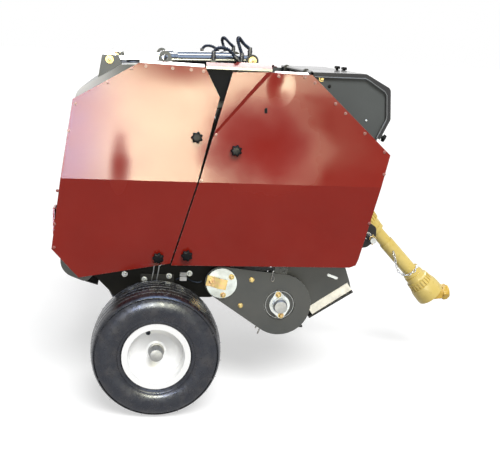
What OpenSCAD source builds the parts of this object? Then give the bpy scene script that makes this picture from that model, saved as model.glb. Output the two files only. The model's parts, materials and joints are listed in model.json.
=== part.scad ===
// Small round baler on two wheels: a roller chamber with a rear door that swings up,
// a tined pick-up in front, folded side shields and a drive shaft towards the tractor.
// X points forwards, Y to the left, Z up; the ground is at Z = 0.

/* [Wheels] */
// Outside diameter of the tyres
tyre_d = 457; // [430:1:480]
// Width of the tyres
tyre_w = 216; // [190:1:230]
// Diameter of the rims' flange
rim_d = 238; // [225:1:250]
// Room between the side walls and the tyres
tyre_gap = 34; // [30:1:60]
// Diameter of the stub axles
stub_d = 30; // [25:1:40]
// Side of the square axle tube
axle_tube = 60; // [50:1:70]

/* [Bale chamber] */
// Width between the side walls
chamber_w = 700; // [660:2:720]
// Height of the chamber's middle above the ground
chamber_z = 810; // [800:1:840]
// Distance of the chamber's middle in front of the axle
chamber_x = 35; // [20:1:50]
// Radius of the circle that the rollers' middles lie on
ring_r = 300; // [292:1:310]
// Radius of a roller's drum
drum_r = 46; // [40:1:48]
// Height of the ribs along a roller
rib_h = 6; // [3:1:8]
// Diameter of the rollers' shafts
roller_shaft_d = 25; // [20:1:32]
// Thickness of the side walls
wall_t = 6; // [4:1:8]
// Room between the rollers and the rear door's skin
skin_gap = 8; // [5:1:14]
// Thickness of the rear door's skin
skin_t = 3; // [2:0.5:4]

/* [Side shields] */
// How far the shields' crease stands out from the side walls
crease_out = 124; // [110:1:135]
// How far the upper half of a shield leans in
lean_top = 60; // [45:1:65]
// How far the lower half of a shield leans in
lean_low = 40; // [25:1:45]
// Thickness of the shields' sheet
shield_t = 3; // [2:0.5:4]
// Depth of the flange folded in along a shield's edge
flange_l = 16; // [10:1:22]
// Gap between the front and the rear shield
split_gap = 6; // [6:1:14]
// Height of the raised corner on the front shield
corner_rise = 8; // [5:1:12]
// Run of the slope round the raised corner
corner_run = 20; // [12:1:28]
// Radius of the star knobs
knob_r = 20; // [16:1:24]

/* [Door cylinders] */
// Distance of the cylinders inside the chamber's walls
ram_in = 52; // [48:1:70]
// Radius of the cylinder barrels
barrel_r = 21; // [19:1:28]
// Radius of the piston rods
rod_r = 12.5; // [10:0.5:14]
// Diameter of the cylinder pins
ram_pin_d = 20; // [16:1:22]
// Length of the barrel's tube
barrel_l = 292; // [280:1:300]
// Outside diameter of the hydraulic hoses
hose_d = 14; // [12:1:16]

/* [Pick-up] */
// Radius of the side plates round the reel
pick_end_r = 117; // [112:1:125]
// Radius of the side plates round their pivot
pick_root_r = 60; // [54:1:64]
// Thickness of the pick-up's side plates
pick_t = 12; // [10:1:14]
// Radius that the tines' tips reach
tine_reach = 170; // [150:1:175]
// Radius of the tine bars' circle
bar_ring = 78; // [70:1:84]
// Thickness of a tine's wire
tine_d = 6; // [5:0.5:7]
// Tines on each bar
tine_n = 10; // [8:1:11]
// Width of a stripper band
band_w = 40; // [30:1:44]

/* [Drive shaft] */
// Length between the two cross joints
pto_l = 525; // [510:1:540]
// Outside diameter of the outer guard tube
pto_tube_d = 60; // [54:1:64]
// Outside diameter of the guard cones
pto_cone_d = 112; // [104:1:118]
// Slope of the parked shaft below the level, in degrees
pto_dip = 46; // [44:1:48]

/* [Hitch and stand] */
// Diameter of the lower link pins
link_pin_d = 22; // [20:1:28]
// Length of the lower link pins
link_pin_l = 82; // [76:1:100]
// Side of the stand's square leg
leg_s = 45; // [40:1:50]
// Side of the stand's foot plate
foot_s = 100; // [80:1:110]

/* [Hidden] */
$fn = 64;
fit = 0.5;
clear = 6;
half_w = chamber_w / 2;
wall_y = half_w + wall_t;
track = 2 * (wall_y + tyre_gap) + tyre_w;
crease_y = wall_y + crease_out;
ram_y = half_w - ram_in;
axle_z = tyre_d / 2;
reach = ring_r + drum_r + rib_h + skin_gap;
grow = reach / 360;
// Places are given from the chamber's middle and grow with the chamber
function at(dx, dz) = [chamber_x + grow * dx, chamber_z + grow * dz];
function unit(v) = v / norm(v);
function turn(v, a) = [v[0] * cos(a) - v[1] * sin(a), v[0] * sin(a) + v[1] * cos(a)];
function mix(p, q, t) = p + (q - p) * t;

// Main places
hinge = at(170, 295);
ram_front = at(280, 428);
ram_eye = at(-218, 410);
pick_pivot = at(198, -369);
reel_at = pick_pivot + grow * [219, -81];
link_at = at(746, -193);
pto_at = at(780, -150);
lid_hinge = at(496, 396);
pto_dir = [cos(pto_dip), -sin(pto_dip)];
pto_end = pto_at + pto_l * pto_dir;
yoke_tilt = 55;
yoke_l = 78;
hub_r = 28;
lamp_x = at(-404, -120)[0] - 8;
front_x = pto_end[0] + yoke_l * cos(yoke_tilt - pto_dip) + hub_r * sin(yoke_tilt - pto_dip);
mid_x = (front_x + lamp_x) / 2;

// The line where the rear door parts from the front frame
split_low = at(12, -296);
split_top = at(203, 389);
split_dir = unit(split_top - split_low);
function on_split(z) = [split_low[0] + (z - split_low[1]) * split_dir[0] / split_dir[1], z];

crease_z = at(0, 14)[1];
top_z = at(0, 391)[1];
low_z = at(0, -294)[1];
// Distance from the middle plane of a shield's outer face at a height
function shield_y(z) = z > crease_z ? crease_y - lean_top * (z - crease_z) / (top_z - crease_z)
    : crease_y - lean_low * (crease_z - z) / (crease_z - low_z);

front_angles = [45, 10, -25, -75, 252];
door_angles = [80, 118, 156, 194, 226];
function roller_at(a) = [chamber_x + ring_r * cos(a), chamber_z + ring_r * sin(a)];

// Rounds a polygon's corners: each point is [x, z, radius]
function corner(a, b, c, r, n) =
    let (u = unit(a - b), v = unit(c - b), h = acos(max(-1, min(1, u * v))) / 2,
         t = r / tan(h), m = b + unit(u + v) * r / sin(h), p = b + u * t - m, q = b + v * t - m,
         w = atan2(p[0] * q[1] - p[1] * q[0], p * q))
    r == 0 ? [b] : [for (i = [0 : n]) m + turn(p, w * i / n)];
function xy(p) = [p[0], p[1]];
function rounded(pts, n = 6) = [for (i = [0 : len(pts) - 1])
    each corner(xy(pts[(i + len(pts) - 1) % len(pts)]), xy(pts[i]), xy(pts[(i + 1) % len(pts)]), pts[i][2], n)];
// The same for an open line, whose two ends stay
function bent(pts, n = 6) = concat([xy(pts[0])], [for (i = [1 : len(pts) - 2])
    each corner(xy(pts[i - 1]), xy(pts[i]), xy(pts[i + 1]), pts[i][2], n)], [xy(pts[len(pts) - 1])]);
// A bent sheet's section: the line and its copy a thickness to the left
function left(d) = [-d[1], d[0]];
function miter(p, i) =
    let (a = i > 0 ? unit(p[i] - p[i - 1]) : unit(p[1] - p[0]),
         b = i < len(p) - 1 ? unit(p[i + 1] - p[i]) : a, m = left(a) + left(b))
    m / (m * m) * 2;
function sheet(p, t) = concat(p, [for (i = [len(p) - 1 : -1 : 0]) p[i] + t * miter(p, i)]);

module across(y0, y1) {
    translate([0, y1, 0])
        rotate([90, 0, 0])
            linear_extrude(y1 - y0)
                children();
}
module rod(p, r, y0, y1) {
    translate([p[0], y1, p[1]])
        rotate([90, 0, 0])
            cylinder(r = r, h = y1 - y0);
}
module both() {
    children();
    mirror([0, 1, 0])
        children();
}
// Two discs and the straight flanks between them
module drop(p, r, q, s) {
    d = norm(q - p);
    u = unit(q - p);
    b = acos((r - s) / d);
    translate(p)
        circle(r);
    translate(q)
        circle(s);
    polygon([p + r * turn(u, b), p + r * turn(u, -b), q + s * turn(u, -b), q + s * turn(u, b)]);
}
// The same outline a thickness further in, for a closed line that runs anticlockwise
function inset(p, t) = [for (i = [0 : len(p) - 1])
    let (a = unit(p[i] - p[(i + len(p) - 1) % len(p)]), b = unit(p[(i + 1) % len(p)] - p[i]),
         m = left(a) + left(b))
    p[i] + 2 * t * m / (m * m)];
// A shield: its outline, which points are raised, its flat parts and the order round its rim
module folded(line, lift, parts, rim) {
    n = len(line);
    tucked = inset([for (i = rim) line[i]], shield_t);
    inner = [for (i = [0 : n - 1]) let (q = tucked[search(i, rim)[0]])
        abs(line[i][1] - crease_z) < 0.01 ? [q[0], crease_z] : q];
    front = [for (i = [0 : n - 1]) face(line[i], lift[i])];
    back = [for (i = [0 : n - 1]) face(inner[i], lift[i])];
    polyhedron(concat(front, [for (p = front) p + [0, flange_l, 0]], [for (p = back) p + [0, flange_l, 0]],
        [for (p = back) p + [0, shield_t, 0]]), concat(
        parts,
        [for (f = parts) [for (i = [len(f) - 1 : -1 : 0]) f[i] + 3 * n]],
        [for (i = [0 : n - 1]) let (a = rim[i], b = rim[(i + 1) % n])
            each [[a, a + n, b + n, b], [a + n, a + 2 * n, b + 2 * n], [a + n, b + 2 * n, b + n],
                [a + 2 * n, a + 3 * n, b + 3 * n, b + 2 * n]]]
    ));
}
// A round tube along a line of points
module hose(pts, r, n = 10) {
    m = len(pts);
    dirs = [for (i = [0 : m - 1]) unit((i < m - 1 ? pts[i + 1] : pts[i]) - (i > 0 ? pts[i - 1] : pts[i]))];
    rings = [for (i = [0 : m - 1]) let (s = unit(cross(dirs[i], [0.05, 1, 0.1])), w = cross(dirs[i], s))
        for (j = [0 : n - 1]) pts[i] + r * (cos(360 * j / n) * s + sin(360 * j / n) * w)];
    polyhedron(rings, concat(
        [[for (j = [0 : n - 1]) j]],
        [[for (j = [n - 1 : -1 : 0]) (m - 1) * n + j]],
        [for (i = [0 : m - 2]) for (j = [0 : n - 1]) let (k = (j + 1) % n)
            each [[i * n + j, (i + 1) * n + j, (i + 1) * n + k], [i * n + j, (i + 1) * n + k, i * n + k]]]
    ));
}
// A smooth line through points
function spline(a, b, c, d, t) = 0.5 * (2 * b + (c - a) * t + (2 * a - 5 * b + 4 * c - d) * t * t
    + (3 * b - a - 3 * c + d) * t * t * t);
function smooth(p, n) = concat([for (i = [0 : len(p) - 2]) for (j = [0 : n - 1])
    spline(p[max(i - 1, 0)], p[i], p[i + 1], p[min(i + 2, len(p) - 1)], j / n)], [p[len(p) - 1]]);

// Side walls of the front frame, with the pins the rear door hangs on
wall_line = [
    [at(-259, -365)[0], at(-259, -365)[1], 0], [at(-186, -440)[0], at(-186, -440)[1], 12],
    [at(165, -440)[0], at(165, -440)[1], 12], [at(233, -400)[0], at(233, -400)[1], 20],
    [at(233, -280)[0], at(233, -280)[1], 30], [at(662, -280)[0], at(662, -280)[1], 20],
    [at(728, 14)[0], at(728, 14)[1], 0], [at(750, 125)[0], at(750, 125)[1], 0],
    [at(748, 168)[0], at(748, 168)[1], 0], [at(781, 244)[0], at(781, 244)[1], 12],
    [at(773, 348)[0], at(773, 348)[1], 12], [at(687, 391)[0], at(687, 391)[1], 12],
    [split_top[0] + 8, top_z - 4, 12],
    [on_split(hinge[1] + 30)[0] + 12, hinge[1] + 30, 0], [on_split(hinge[1] - 50)[0], hinge[1] - 50, 0],
    [on_split(at(0, -205)[1])[0], at(0, -205)[1], 10],
    [at(-50, -205)[0], at(-50, -205)[1], 30], [at(-145, -250)[0], at(-145, -250)[1], 30]
];
ear_r = 40;
pin_r = 15;
module frame_wall() {
    difference() {
        union() {
            across(-wall_y, -half_w)
                polygon(rounded(wall_line));
            rod(hinge, ear_r, -wall_y, -half_w);
        }
        for (a = front_angles)
            rod(roller_at(a), roller_shaft_d / 2 + fit, -wall_y - 1, -half_w + 1);
    }
    rod(hinge, pin_r, -wall_y - 16, -half_w);
}
module frame_walls() {
    color([0.27, 0.28, 0.27])
        both()
            frame_wall();
}

// Cross tubes between the side walls, with the lugs the cylinders push against
tube_s = 60;
lug_gap = barrel_r + 3;
lug_t = 8;
module cross_tubes() {
    top = [ram_front[0] - tube_s / 2, top_z - 8 - tube_s];
    color([0.27, 0.28, 0.27]) {
        translate([top[0], -half_w, top[1]])
            cube([tube_s, chamber_w, tube_s]);
        both()
            for (s = [-1, 1])
                ram_lug(-ram_y + s * (lug_gap + lug_t / 2), ram_front, top[1] + tube_s);
        translate([at(625, 0)[0], -half_w + arm_t, beam_z])
            cube([beam_s, chamber_w - 2 * arm_t, beam_s]);
        translate([at(-150, 0)[0], -half_w, at(0, -430)[1]])
            cube([50, chamber_w, 50]);
        translate([lid_hinge[0] - 26, -half_w, lid_hinge[1] - 66])
            cube([40, chamber_w, 40]);
        both()
            difference() {
                union() {
                    rod(lid_hinge, 11, -knuckle_y - 8, -knuckle_y + 8);
                    translate([lid_hinge[0] - 11, -knuckle_y - 8, lid_hinge[1] - 26])
                        cube([22, 16, 26]);
                }
                rod(lid_hinge, lid_pin_r + fit, -knuckle_y - 9, -knuckle_y + 9);
            }
    }
}
lid_pin_r = 6;
knuckle_y = half_w - 130;
module ram_lug(y, p, foot_z) {
    difference() {
        union() {
            rod(p, 22, y - lug_t / 2, y + lug_t / 2);
            translate([p[0] - 22, y - lug_t / 2, foot_z])
                cube([44, lug_t, p[1] - foot_z]);
        }
        rod(p, ram_pin_d / 2, y - lug_t, y + lug_t);
    }
}

// Pins through the cylinders' front eyes
module ram_pins() {
    color([0.75, 0.68, 0.45])
        both() {
            rod(ram_front, ram_pin_d / 2, -ram_y - lug_gap - lug_t - 4, -ram_y + lug_gap + lug_t + 4);
            rod(ram_front, ram_pin_d / 2 + 4, -ram_y - lug_gap - lug_t - 8, -ram_y - lug_gap - lug_t);
        }
}

// Axle tube with its brackets and stubs
module axle_beam() {
    bracket_t = 12;
    color([0.2, 0.2, 0.2]) {
        translate([-axle_tube / 2, -wall_y - bracket_t, axle_z - axle_tube / 2])
            cube([axle_tube, 2 * (wall_y + bracket_t), axle_tube]);
        both() {
            translate([-60, -wall_y - bracket_t, axle_z - axle_tube / 2])
                cube([120, bracket_t, at(0, -350)[1] - axle_z + axle_tube / 2]);
            rod([0, axle_z], stub_d / 2, -track / 2 - 40, -wall_y - bracket_t + 1);
        }
    }
}

// Gearbox on the hitch beam, with its input yoke
beam_s = 70;
beam_z = pto_at[1] - 113;
box_x = at(560, 0)[0];
cross_r = 11;
ear_y = 26;
module yoke_ears(l) {
    for (s = [-1, 1]) {
        translate([s * ear_y, 0, 0])
            rotate([0, 90, 0])
                translate([0, 0, -5])
                    cylinder(r = 17, h = 10);
        translate([s * ear_y - 5, -17, 0])
            cube([10, 34, l]);
    }
}
module gearbox() {
    gz = pto_at[1];
    color([0.22, 0.22, 0.22])
        difference() {
            union() {
                translate([box_x, -85, beam_z + beam_s])
                    cube([130, 170, 150]);
                translate([box_x + 130, 0, gz])
                    rotate([0, 90, 0])
                        cylinder(r = 42, h = 22);
                translate([box_x + 140, 0, gz])
                    rotate([0, 90, 0])
                        cylinder(r = 28, h = pto_at[0] - box_x - 140 - 40);
                translate([pto_at[0], 0, gz])
                    rotate([0, -90, 0])
                        rotate([0, 0, 90])
                            yoke_ears(48);
                translate([box_x + 65, half_w, gz + 40])
                    rotate([90, 0, 0])
                        cylinder(r = 20, h = half_w - 80);
            }
            rod(pto_at, cross_r + fit, -60, 60);
        }
}

// Hitch arms with the lower link pins
arm_t = 12;
link_root = link_pin_d / 2 + 3;
module hitch_arms() {
    color([0.3, 0.3, 0.3])
        both() {
            difference() {
                across(-half_w, -half_w + arm_t)
                    polygon(rounded([
                        [at(590, 0)[0], at(0, -265)[1], 10], [link_at[0], link_at[1] - 45, 20],
                        [link_at[0] + 32, link_at[1] - 20, 20], [link_at[0] + 32, link_at[1] + 32, 20],
                        [link_at[0] - 30, link_at[1] + 70, 20], [at(590, 0)[0], at(0, -155)[1], 10]]));
                rod(link_at, link_root, -half_w - 1, -half_w + arm_t + 1);
            }
        }
}
module link_pins() {
    color([0.75, 0.76, 0.78])
        both() {
            rod(link_at, link_pin_d / 2, -half_w - link_pin_l, -half_w);
            rod(link_at, link_root, -half_w, -half_w + arm_t);
            rod(link_at, link_root + 6, -half_w + arm_t, -half_w + arm_t + 14);
        }
}

// Front side shields, folded along the crease, with a raised corner at the top
function face(p, lift = 0) = [p[0], -shield_y(p[1]) - lift * corner_rise, p[1]];
module front_shield() {
    t1 = at(321, 394);
    s1 = on_split(at(0, 189)[1]);
    line = [
        split_top, t1, s1, t1 + [corner_run, 0], s1 - 1.2 * corner_run * split_dir, at(481, 392), at(772, 127),
        [at(744, 0)[0], crease_z], on_split(crease_z), at(692, -262), at(684, -285), at(662, -294), split_low
    ];
    folded(line, [1, 1, 1, 0, 0, 0, 0, 0, 0, 0, 0, 0, 0], [
        [0, 1, 2], [1, 3, 4], [1, 4, 2], [3, 5, 6, 7, 8, 4], [8, 7, 9, 10, 11, 12]
    ], [0, 2, 4, 8, 12, 11, 10, 9, 7, 6, 5, 3, 1]);
}
// Brackets that carry a shield on the wall behind it
module shield_post(p) {
    y = shield_y(p[1]);
    rod(p, 9, -y + shield_t - 0.6, -wall_y);
}
front_knobs = [at(222, 124), at(66, -253)];
front_posts = concat(front_knobs, [at(695, 60)]);
module front_shields() {
    color([0.5, 0.09, 0.07])
        both() {
            front_shield();
            for (p = front_posts)
                shield_post(p);
        }
}

// Rear side shields on the door
door_shift = split_gap * [-1, 0];
module rear_shield() {
    line = [
        at(-334, 277), at(-116, 406), at(109, 401), hinge + [-9, 7], on_split(crease_z) + door_shift,
        [at(-370, 0)[0], crease_z], on_split(at(0, -289)[1]) + door_shift, at(-312, -348), at(-404, -242)
    ];
    folded(line, [0, 0, 0, 0, 0, 0, 0, 0, 0],
        [[0, 1, 2, 3, 4, 5], [5, 4, 6, 7, 8]], [0, 5, 8, 7, 6, 4, 3, 2, 1]);
}
rear_knobs = [at(86, 164), at(-35, -264)];
rear_posts = concat([rear_knobs[0]], [at(-250, 60)]);
module rear_shields() {
    color([0.5, 0.09, 0.07])
        both() {
            rear_shield();
            for (p = rear_posts)
                shield_post(p);
        }
}

// Star knobs that hold the shields
module star_knob(p) {
    lean = p[1] > crease_z ? atan(lean_top / (top_z - crease_z)) : -atan(lean_low / (crease_z - low_z));
    translate([p[0], -shield_y(p[1]), p[1]])
        rotate([90 - lean, 0, 0])
            star();
}
module star() {
    difference() {
        cylinder(r = knob_r, h = 20);
        for (i = [0 : 4])
            rotate([0, 0, i * 72])
                translate([knob_r + 5, 0, 8])
                    cylinder(r = 9, h = 20);
    }
    cylinder(r = 9, h = 22);
}
module front_shield_knobs() {
    color([0.05, 0.05, 0.05])
        both()
            for (p = front_knobs)
                star_knob(p);
}
module rear_shield_knobs() {
    color([0.05, 0.05, 0.05])
        both()
            for (p = rear_knobs)
                star_knob(p);
}

// Sloped strips along the top beside the cylinders
module top_strips() {
    y0 = wall_y;
    strip = [[-y0, top_z - 20], [-y0, top_z + 31], [-y0 - 31, top_z + 13], [-y0 - 32, top_z + 5]];
    color([0.5, 0.09, 0.07])
        both()
            difference() {
                translate([at(115, 0)[0], 0, 0])
                    rotate([90, 0, 90])
                        linear_extrude(230 * grow)
                            polygon(sheet(strip, 3));
                translate([at(0, 0)[0], -y0 - clear - 2, 0])
                    cube([220 * grow, clear + 3, 3000]);
            }
}

// Front panel between the walls
module front_panel() {
    line = bent([[lid_hinge[0] - 10, lid_hinge[1] - 66 - clear, 0], [at(530, 0)[0], at(0, 100)[1], 30],
        [at(640, 0)[0], at(0, -20)[1], 0]]);
    color([0.27, 0.28, 0.27])
        across(-half_w, half_w)
            polygon(sheet(line, 3));
}

// Wind guard in front of the reel, on its cheek plates with their setting slots
slot_w = 11;
module wind_guard() {
    color([0.3, 0.31, 0.3])
        both()
            across(-wall_y - 4, -wall_y)
                difference() {
                    polygon(rounded([
                        [at(429, 0)[0], at(0, -320)[1], 8], [at(440, 0)[0], at(0, -240)[1], 8],
                        [at(640, 0)[0], at(0, -240)[1], 8], [at(688, 0)[0], at(0, -371)[1], 8],
                        [at(695, 0)[0], at(0, -398)[1], 8], [at(558, 0)[0], at(0, -491)[1], 8]]));
                    drop(at(605, -346), slot_w / 2, at(637, -358), slot_w / 2);
                }
}
module guard_sheet() {
    p = at(600, -468);
    q = at(697, -402);
    u = unit(q - p);
    a = at(552, -500);
    color([0.75, 0.73, 0.68]) {
        across(-wall_y, wall_y)
            polygon([
                p, q, q + 33 * left(u), q + 33 * left(u) - 3 * u, q + 3 * left(u) - 3 * u, p + 3 * left(u)]);
        both()
            across(-wall_y - 8, -wall_y - 4)
                polygon([a, q, q + 33 * left(u), a + 33 * left(u)]);
    }
}

// Lid over the twine box, hinged at its rear edge
lid_y = wall_y + 5;
lid_line = [
    [lid_hinge[0], lid_hinge[1] + 4, 0], [at(689, 0)[0], at(0, 402)[1], 20], [at(782, 0)[0], at(0, 354)[1], 20],
    [at(791, 0)[0], at(0, 244)[1], 20], [at(757, 0)[0], at(0, 170)[1], 0]
];
module bonnet_lid() {
    line = bent(lid_line);
    back = [for (i = [len(line) - 1 : -1 : 0]) line[i]];
    color([0.06, 0.06, 0.06]) {
        difference() {
            across(-lid_y - 3, lid_y + 3)
                polygon(sheet(back, 3));
            both()
                translate([lid_hinge[0] - 20, -knuckle_y - 14, lid_hinge[1] - 20])
                    cube([40, 28, 40]);
        }
        both()
            across(-lid_y - 3, -lid_y)
                polygon(sheet(back, 18));
        rod(lid_hinge, lid_pin_r, -half_w + 20, half_w - 20);
    }
}

// Stand: a sleeve on the left wall and the leg that slides in it
stand_out = 14;
stand_at = [at(615, 0)[0], wall_y + stand_out + leg_s / 2];
module stand_sleeve() {
    s = leg_s + 2 * fit;
    z0 = at(0, -270)[1];
    color([0.2, 0.2, 0.2])
        difference() {
            union() {
                translate([stand_at[0] - s / 2 - 5, stand_at[1] - s / 2 - 5, z0])
                    cube([s + 10, s + 10, 160]);
                translate([stand_at[0] - 20, wall_y, z0 + 36])
                    cube([40, stand_at[1] - s / 2 - wall_y, 30]);
                translate([stand_at[0] - 20, wall_y, z0 + 110])
                    cube([40, stand_at[1] - s / 2 - wall_y, 30]);
            }
            translate([stand_at[0] - s / 2, stand_at[1] - s / 2, z0 - 1])
                cube([s, s, 162]);
        }
}
module stand_leg() {
    color([0.2, 0.2, 0.2]) {
        translate([stand_at[0] - leg_s / 2, stand_at[1] - leg_s / 2, 4])
            cube([leg_s, leg_s, at(0, -90)[1]]);
        translate([stand_at[0] - foot_s / 2, stand_at[1] - foot_s / 2, 0])
            cube([foot_s, foot_s, 8]);
    }
}

// Rear door: side walls with hinge straps, skin, brackets for the rods
door_heel = [at(-386, 0)[0], at(0, -350)[1], 62];
door_line = [
    [on_split(at(0, -197)[1])[0] - 7, at(0, -197)[1], 10], [on_split(hinge[1] - 30)[0] - 7, hinge[1] - 30, 0],
    [hinge[0] - 55, hinge[1] + 45, 20], [at(25, 0)[0], at(0, 395)[1], 10], [at(-176, 0)[0], at(0, 395)[1], 40],
    [at(-330, 0)[0], at(0, 302)[1], 60], [at(-360, 0)[0], at(0, 14)[1], 0],
    door_heel, [at(-290, 0)[0], at(0, -388)[1], 24],
    [at(-160, 0)[0], at(0, -240)[1], 0], [at(-60, 0)[0], at(0, -194)[1], 30]
];
lift_hole = at(-28, 427);
module door_wall() {
    difference() {
        union() {
            difference() {
                union() {
                    across(-wall_y, -half_w)
                        polygon(rounded(door_line));
                    across(-wall_y, -half_w)
                        drop(lift_hole, 22, lift_hole - [0, 60], 30);
                }
                rod(hinge, ear_r + clear, -wall_y - 1, -half_w + 1);
            }
            across(-wall_y - 8, -wall_y - 1)
                drop(hinge, 32, hinge + [-95, -10], 32);
            across(-wall_y - 2, -wall_y)
                drop(hinge + [-85, -10], 24, hinge + [-95, -10], 32);
        }
        rod(hinge, pin_r + fit, -wall_y - 20, -half_w + 1);
        rod(lift_hole, 10, -wall_y - 1, -half_w + 1);
        for (a = door_angles)
            rod(roller_at(a), roller_shaft_d / 2 + fit, -wall_y - 20, -half_w + 1);
    }
}
module door_walls() {
    color([0.27, 0.28, 0.27])
        both()
            door_wall();
}
module door_skin() {
    line = bent([
        [at(140, 0)[0], at(0, 336)[1], 0], [at(104, 0)[0], at(0, 382)[1], 20],
        [at(-30, 0)[0], at(0, 395)[1], 0], [at(-176, 0)[0], at(0, 395)[1], 40],
        [at(-330, 0)[0], at(0, 302)[1], 60], [at(-360, 0)[0], at(0, 14)[1], 0],
        door_heel, [at(-290, 0)[0], at(0, -388)[1], 24],
        [at(-250, 0)[0], at(0, -400)[1], 0]]);
    notch_x = at(-160, 0)[0];
    color([0.55, 0.55, 0.53])
        difference() {
            across(-half_w, half_w)
                polygon(sheet(line, skin_t));
            // Room for the cylinders as the door lifts
            both()
                translate([notch_x, -half_w - 1, line[0][1] - 2 * skin_t])
                    cube([line[0][0] - notch_x + 2 * skin_t, half_w + 1 - ram_y + barrel_r + collar_out + clear,
                        top_z - line[0][1] + 6 * skin_t]);
        }
}
module rod_brackets() {
    gap = rod_r + 8;
    p = ram_eye;
    color([0.3, 0.31, 0.3])
        both()
            for (s = [-1, 1])
                across(-ram_y + s * (gap + 4) - 4, -ram_y + s * (gap + 4) + 4)
                    difference() {
                        polygon(rounded([
                            [p[0] - 26, p[1] + 15, 4], [p[0] + 32, p[1] + 15, 4],
                            [at(-178, 0)[0], at(0, 394)[1], 0], [at(-189, 0)[0], at(0, 387.6)[1], 0],
                            [at(-257, 0)[0], at(0, 346.5)[1], 0]]));
                        translate(p)
                            circle(ram_pin_d / 2);
                    }
}
module rod_pins() {
    gap = rod_r + 8;
    color([0.75, 0.68, 0.45])
        both() {
            rod(ram_eye, ram_pin_d / 2, -ram_y - gap - 12, -ram_y + gap + 12);
            rod(ram_eye, ram_pin_d / 2 + 4, -ram_y - gap - 13, -ram_y - gap - 8);
        }
}
function on_skin(z) = mix(at(-360, 14), xy(door_heel), (at(0, 14)[1] - z) / (at(0, 14)[1] - door_heel[1]));
module tail_lamps() {
    lo = at(0, -217)[1];
    hi = lo + 96;
    color([0.7, 0.05, 0.04])
        both()
            across(-half_w + 20, -half_w + 80)
                polygon([[lamp_x, lo], on_skin(lo), on_skin(hi), [lamp_x, hi]]);
}

// Ribbed rollers
module roller(a) {
    p = roller_at(a);
    color([0.5, 0.5, 0.5]) {
        rod(p, drum_r, -half_w + 8, half_w - 8);
        rod(p, roller_shaft_d / 2, -wall_y - 12, wall_y + 12);
        for (i = [0 : 7])
            translate([p[0], 0, p[1]])
                rotate([0, i * 45, 0])
                    translate([-4, -half_w + 8, drum_r - 2])
                        cube([8, chamber_w - 16, rib_h + 2]);
    }
}
module front_roller_1() { roller(front_angles[0]); }
module front_roller_2() { roller(front_angles[1]); }
module front_roller_3() { roller(front_angles[2]); }
module front_roller_4() { roller(front_angles[3]); }
module front_roller_5() { roller(front_angles[4]); }
module door_roller_1() { roller(door_angles[0]); }
module door_roller_2() { roller(door_angles[1]); }
module door_roller_3() { roller(door_angles[2]); }
module door_roller_4() { roller(door_angles[3]); }
module door_roller_5() { roller(door_angles[4]); }

// Door cylinders, each drawn lying along -X from its front pin
ram_l = norm(ram_eye - ram_front);
ram_a = atan2(ram_eye[1] - ram_front[1], ram_front[0] - ram_eye[0]);
eye_slack = 7;
collar_out = 4;
module at_ram() {
    translate([ram_front[0], -ram_y, ram_front[1]])
        rotate([0, ram_a, 0])
            children();
}
module barrel_body() {
    at_ram() {
        translate([-ram_pin_d / 2 - 4, 0, 0])
            rotate([0, -90, 0])
                cylinder(r = barrel_r, h = barrel_l - ram_pin_d / 2 - 4);
        translate([-barrel_l + 30, 0, 0])
            rotate([0, -90, 0])
                cylinder(r = barrel_r + collar_out, h = 34);
        rotate([90, 0, 0])
            translate([0, 0, -barrel_r - 1])
                cylinder(r = barrel_r - 2, h = 2 * barrel_r + 2);
    }
}
module ram_barrel() {
    difference() {
        union() {
            ports();
            barrel_body();
        }
        at_ram()
            rotate([90, 0, 0])
                translate([0, 0, -60])
                    cylinder(r = ram_pin_d / 2 + fit, h = 120);
        at_ram()
            translate([-45, 0, 0])
                rotate([0, -90, 0])
                    cylinder(r = rod_r + fit, h = barrel_l);
    }
}
// Ports on the barrel's outer side, and the two hoses between them, given from the front pin
port_y = -barrel_r - hose_d / 2 - 1.5;
port_r = hose_d / 2 + 1;
low_port = [-138, port_y, -5];
tee = [-38, port_y, -12];
tee_s = 20;
tee_reach = 16;
cap_port = [-6, 4, 10];
route_low = [[-138, port_y, 12], [-138, port_y, 18], [-138, port_y, 23], [-126, port_y, 37], [-107, port_y, 40],
    [-86, port_y, 34], [-70, port_y, 20], [-62, port_y, 12], [-54, port_y, 4]];
route_high = [[-38, port_y, 10], [-38, port_y, 15], [-38, port_y, 20], [-46, port_y, 42], [-53, port_y + 4, 64],
    [-50, port_y + 22, 76], [-40, port_y + 43, 70], [-24, port_y + 47, 54], [-6, 4, 40], [-6, 4, 35],
    [-6, 4, 30]];
module at_pin() {
    translate([ram_front[0], -ram_y, ram_front[1]])
        children();
}
module ports() {
    at_pin() {
        translate(low_port - [0, 5, 0])
            rotate([-90, 0, 0])
                cylinder(r = port_r + 1, h = 20);
        translate(low_port)
            cylinder(r = port_r, h = route_low[0][2] - low_port[2] - fit);
        translate(tee - [tee_s / 2, 5, tee_s / 2])
            cube([tee_s, 20, tee_s]);
        translate(tee)
            cylinder(r = port_r, h = route_high[0][2] - tee[2] - fit);
        translate(tee)
            rotate([0, -45, 0])
                cylinder(r = hose_d / 2 + 0.3, h = tee_reach * sqrt(2) - fit);
        translate(cap_port)
            cylinder(r = port_r, h = route_high[len(route_high) - 1][2] - cap_port[2] - fit);
    }
}
module hose_pair() {
    at_pin() {
        hose(smooth(route_low, 2), hose_d / 2);
        hose(smooth(route_high, 2), hose_d / 2);
    }
}
module hoses_right() { color([0.05, 0.05, 0.05]) hose_pair(); }
module hoses_left() { color([0.05, 0.05, 0.05]) mirror([0, 1, 0]) hose_pair(); }
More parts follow.
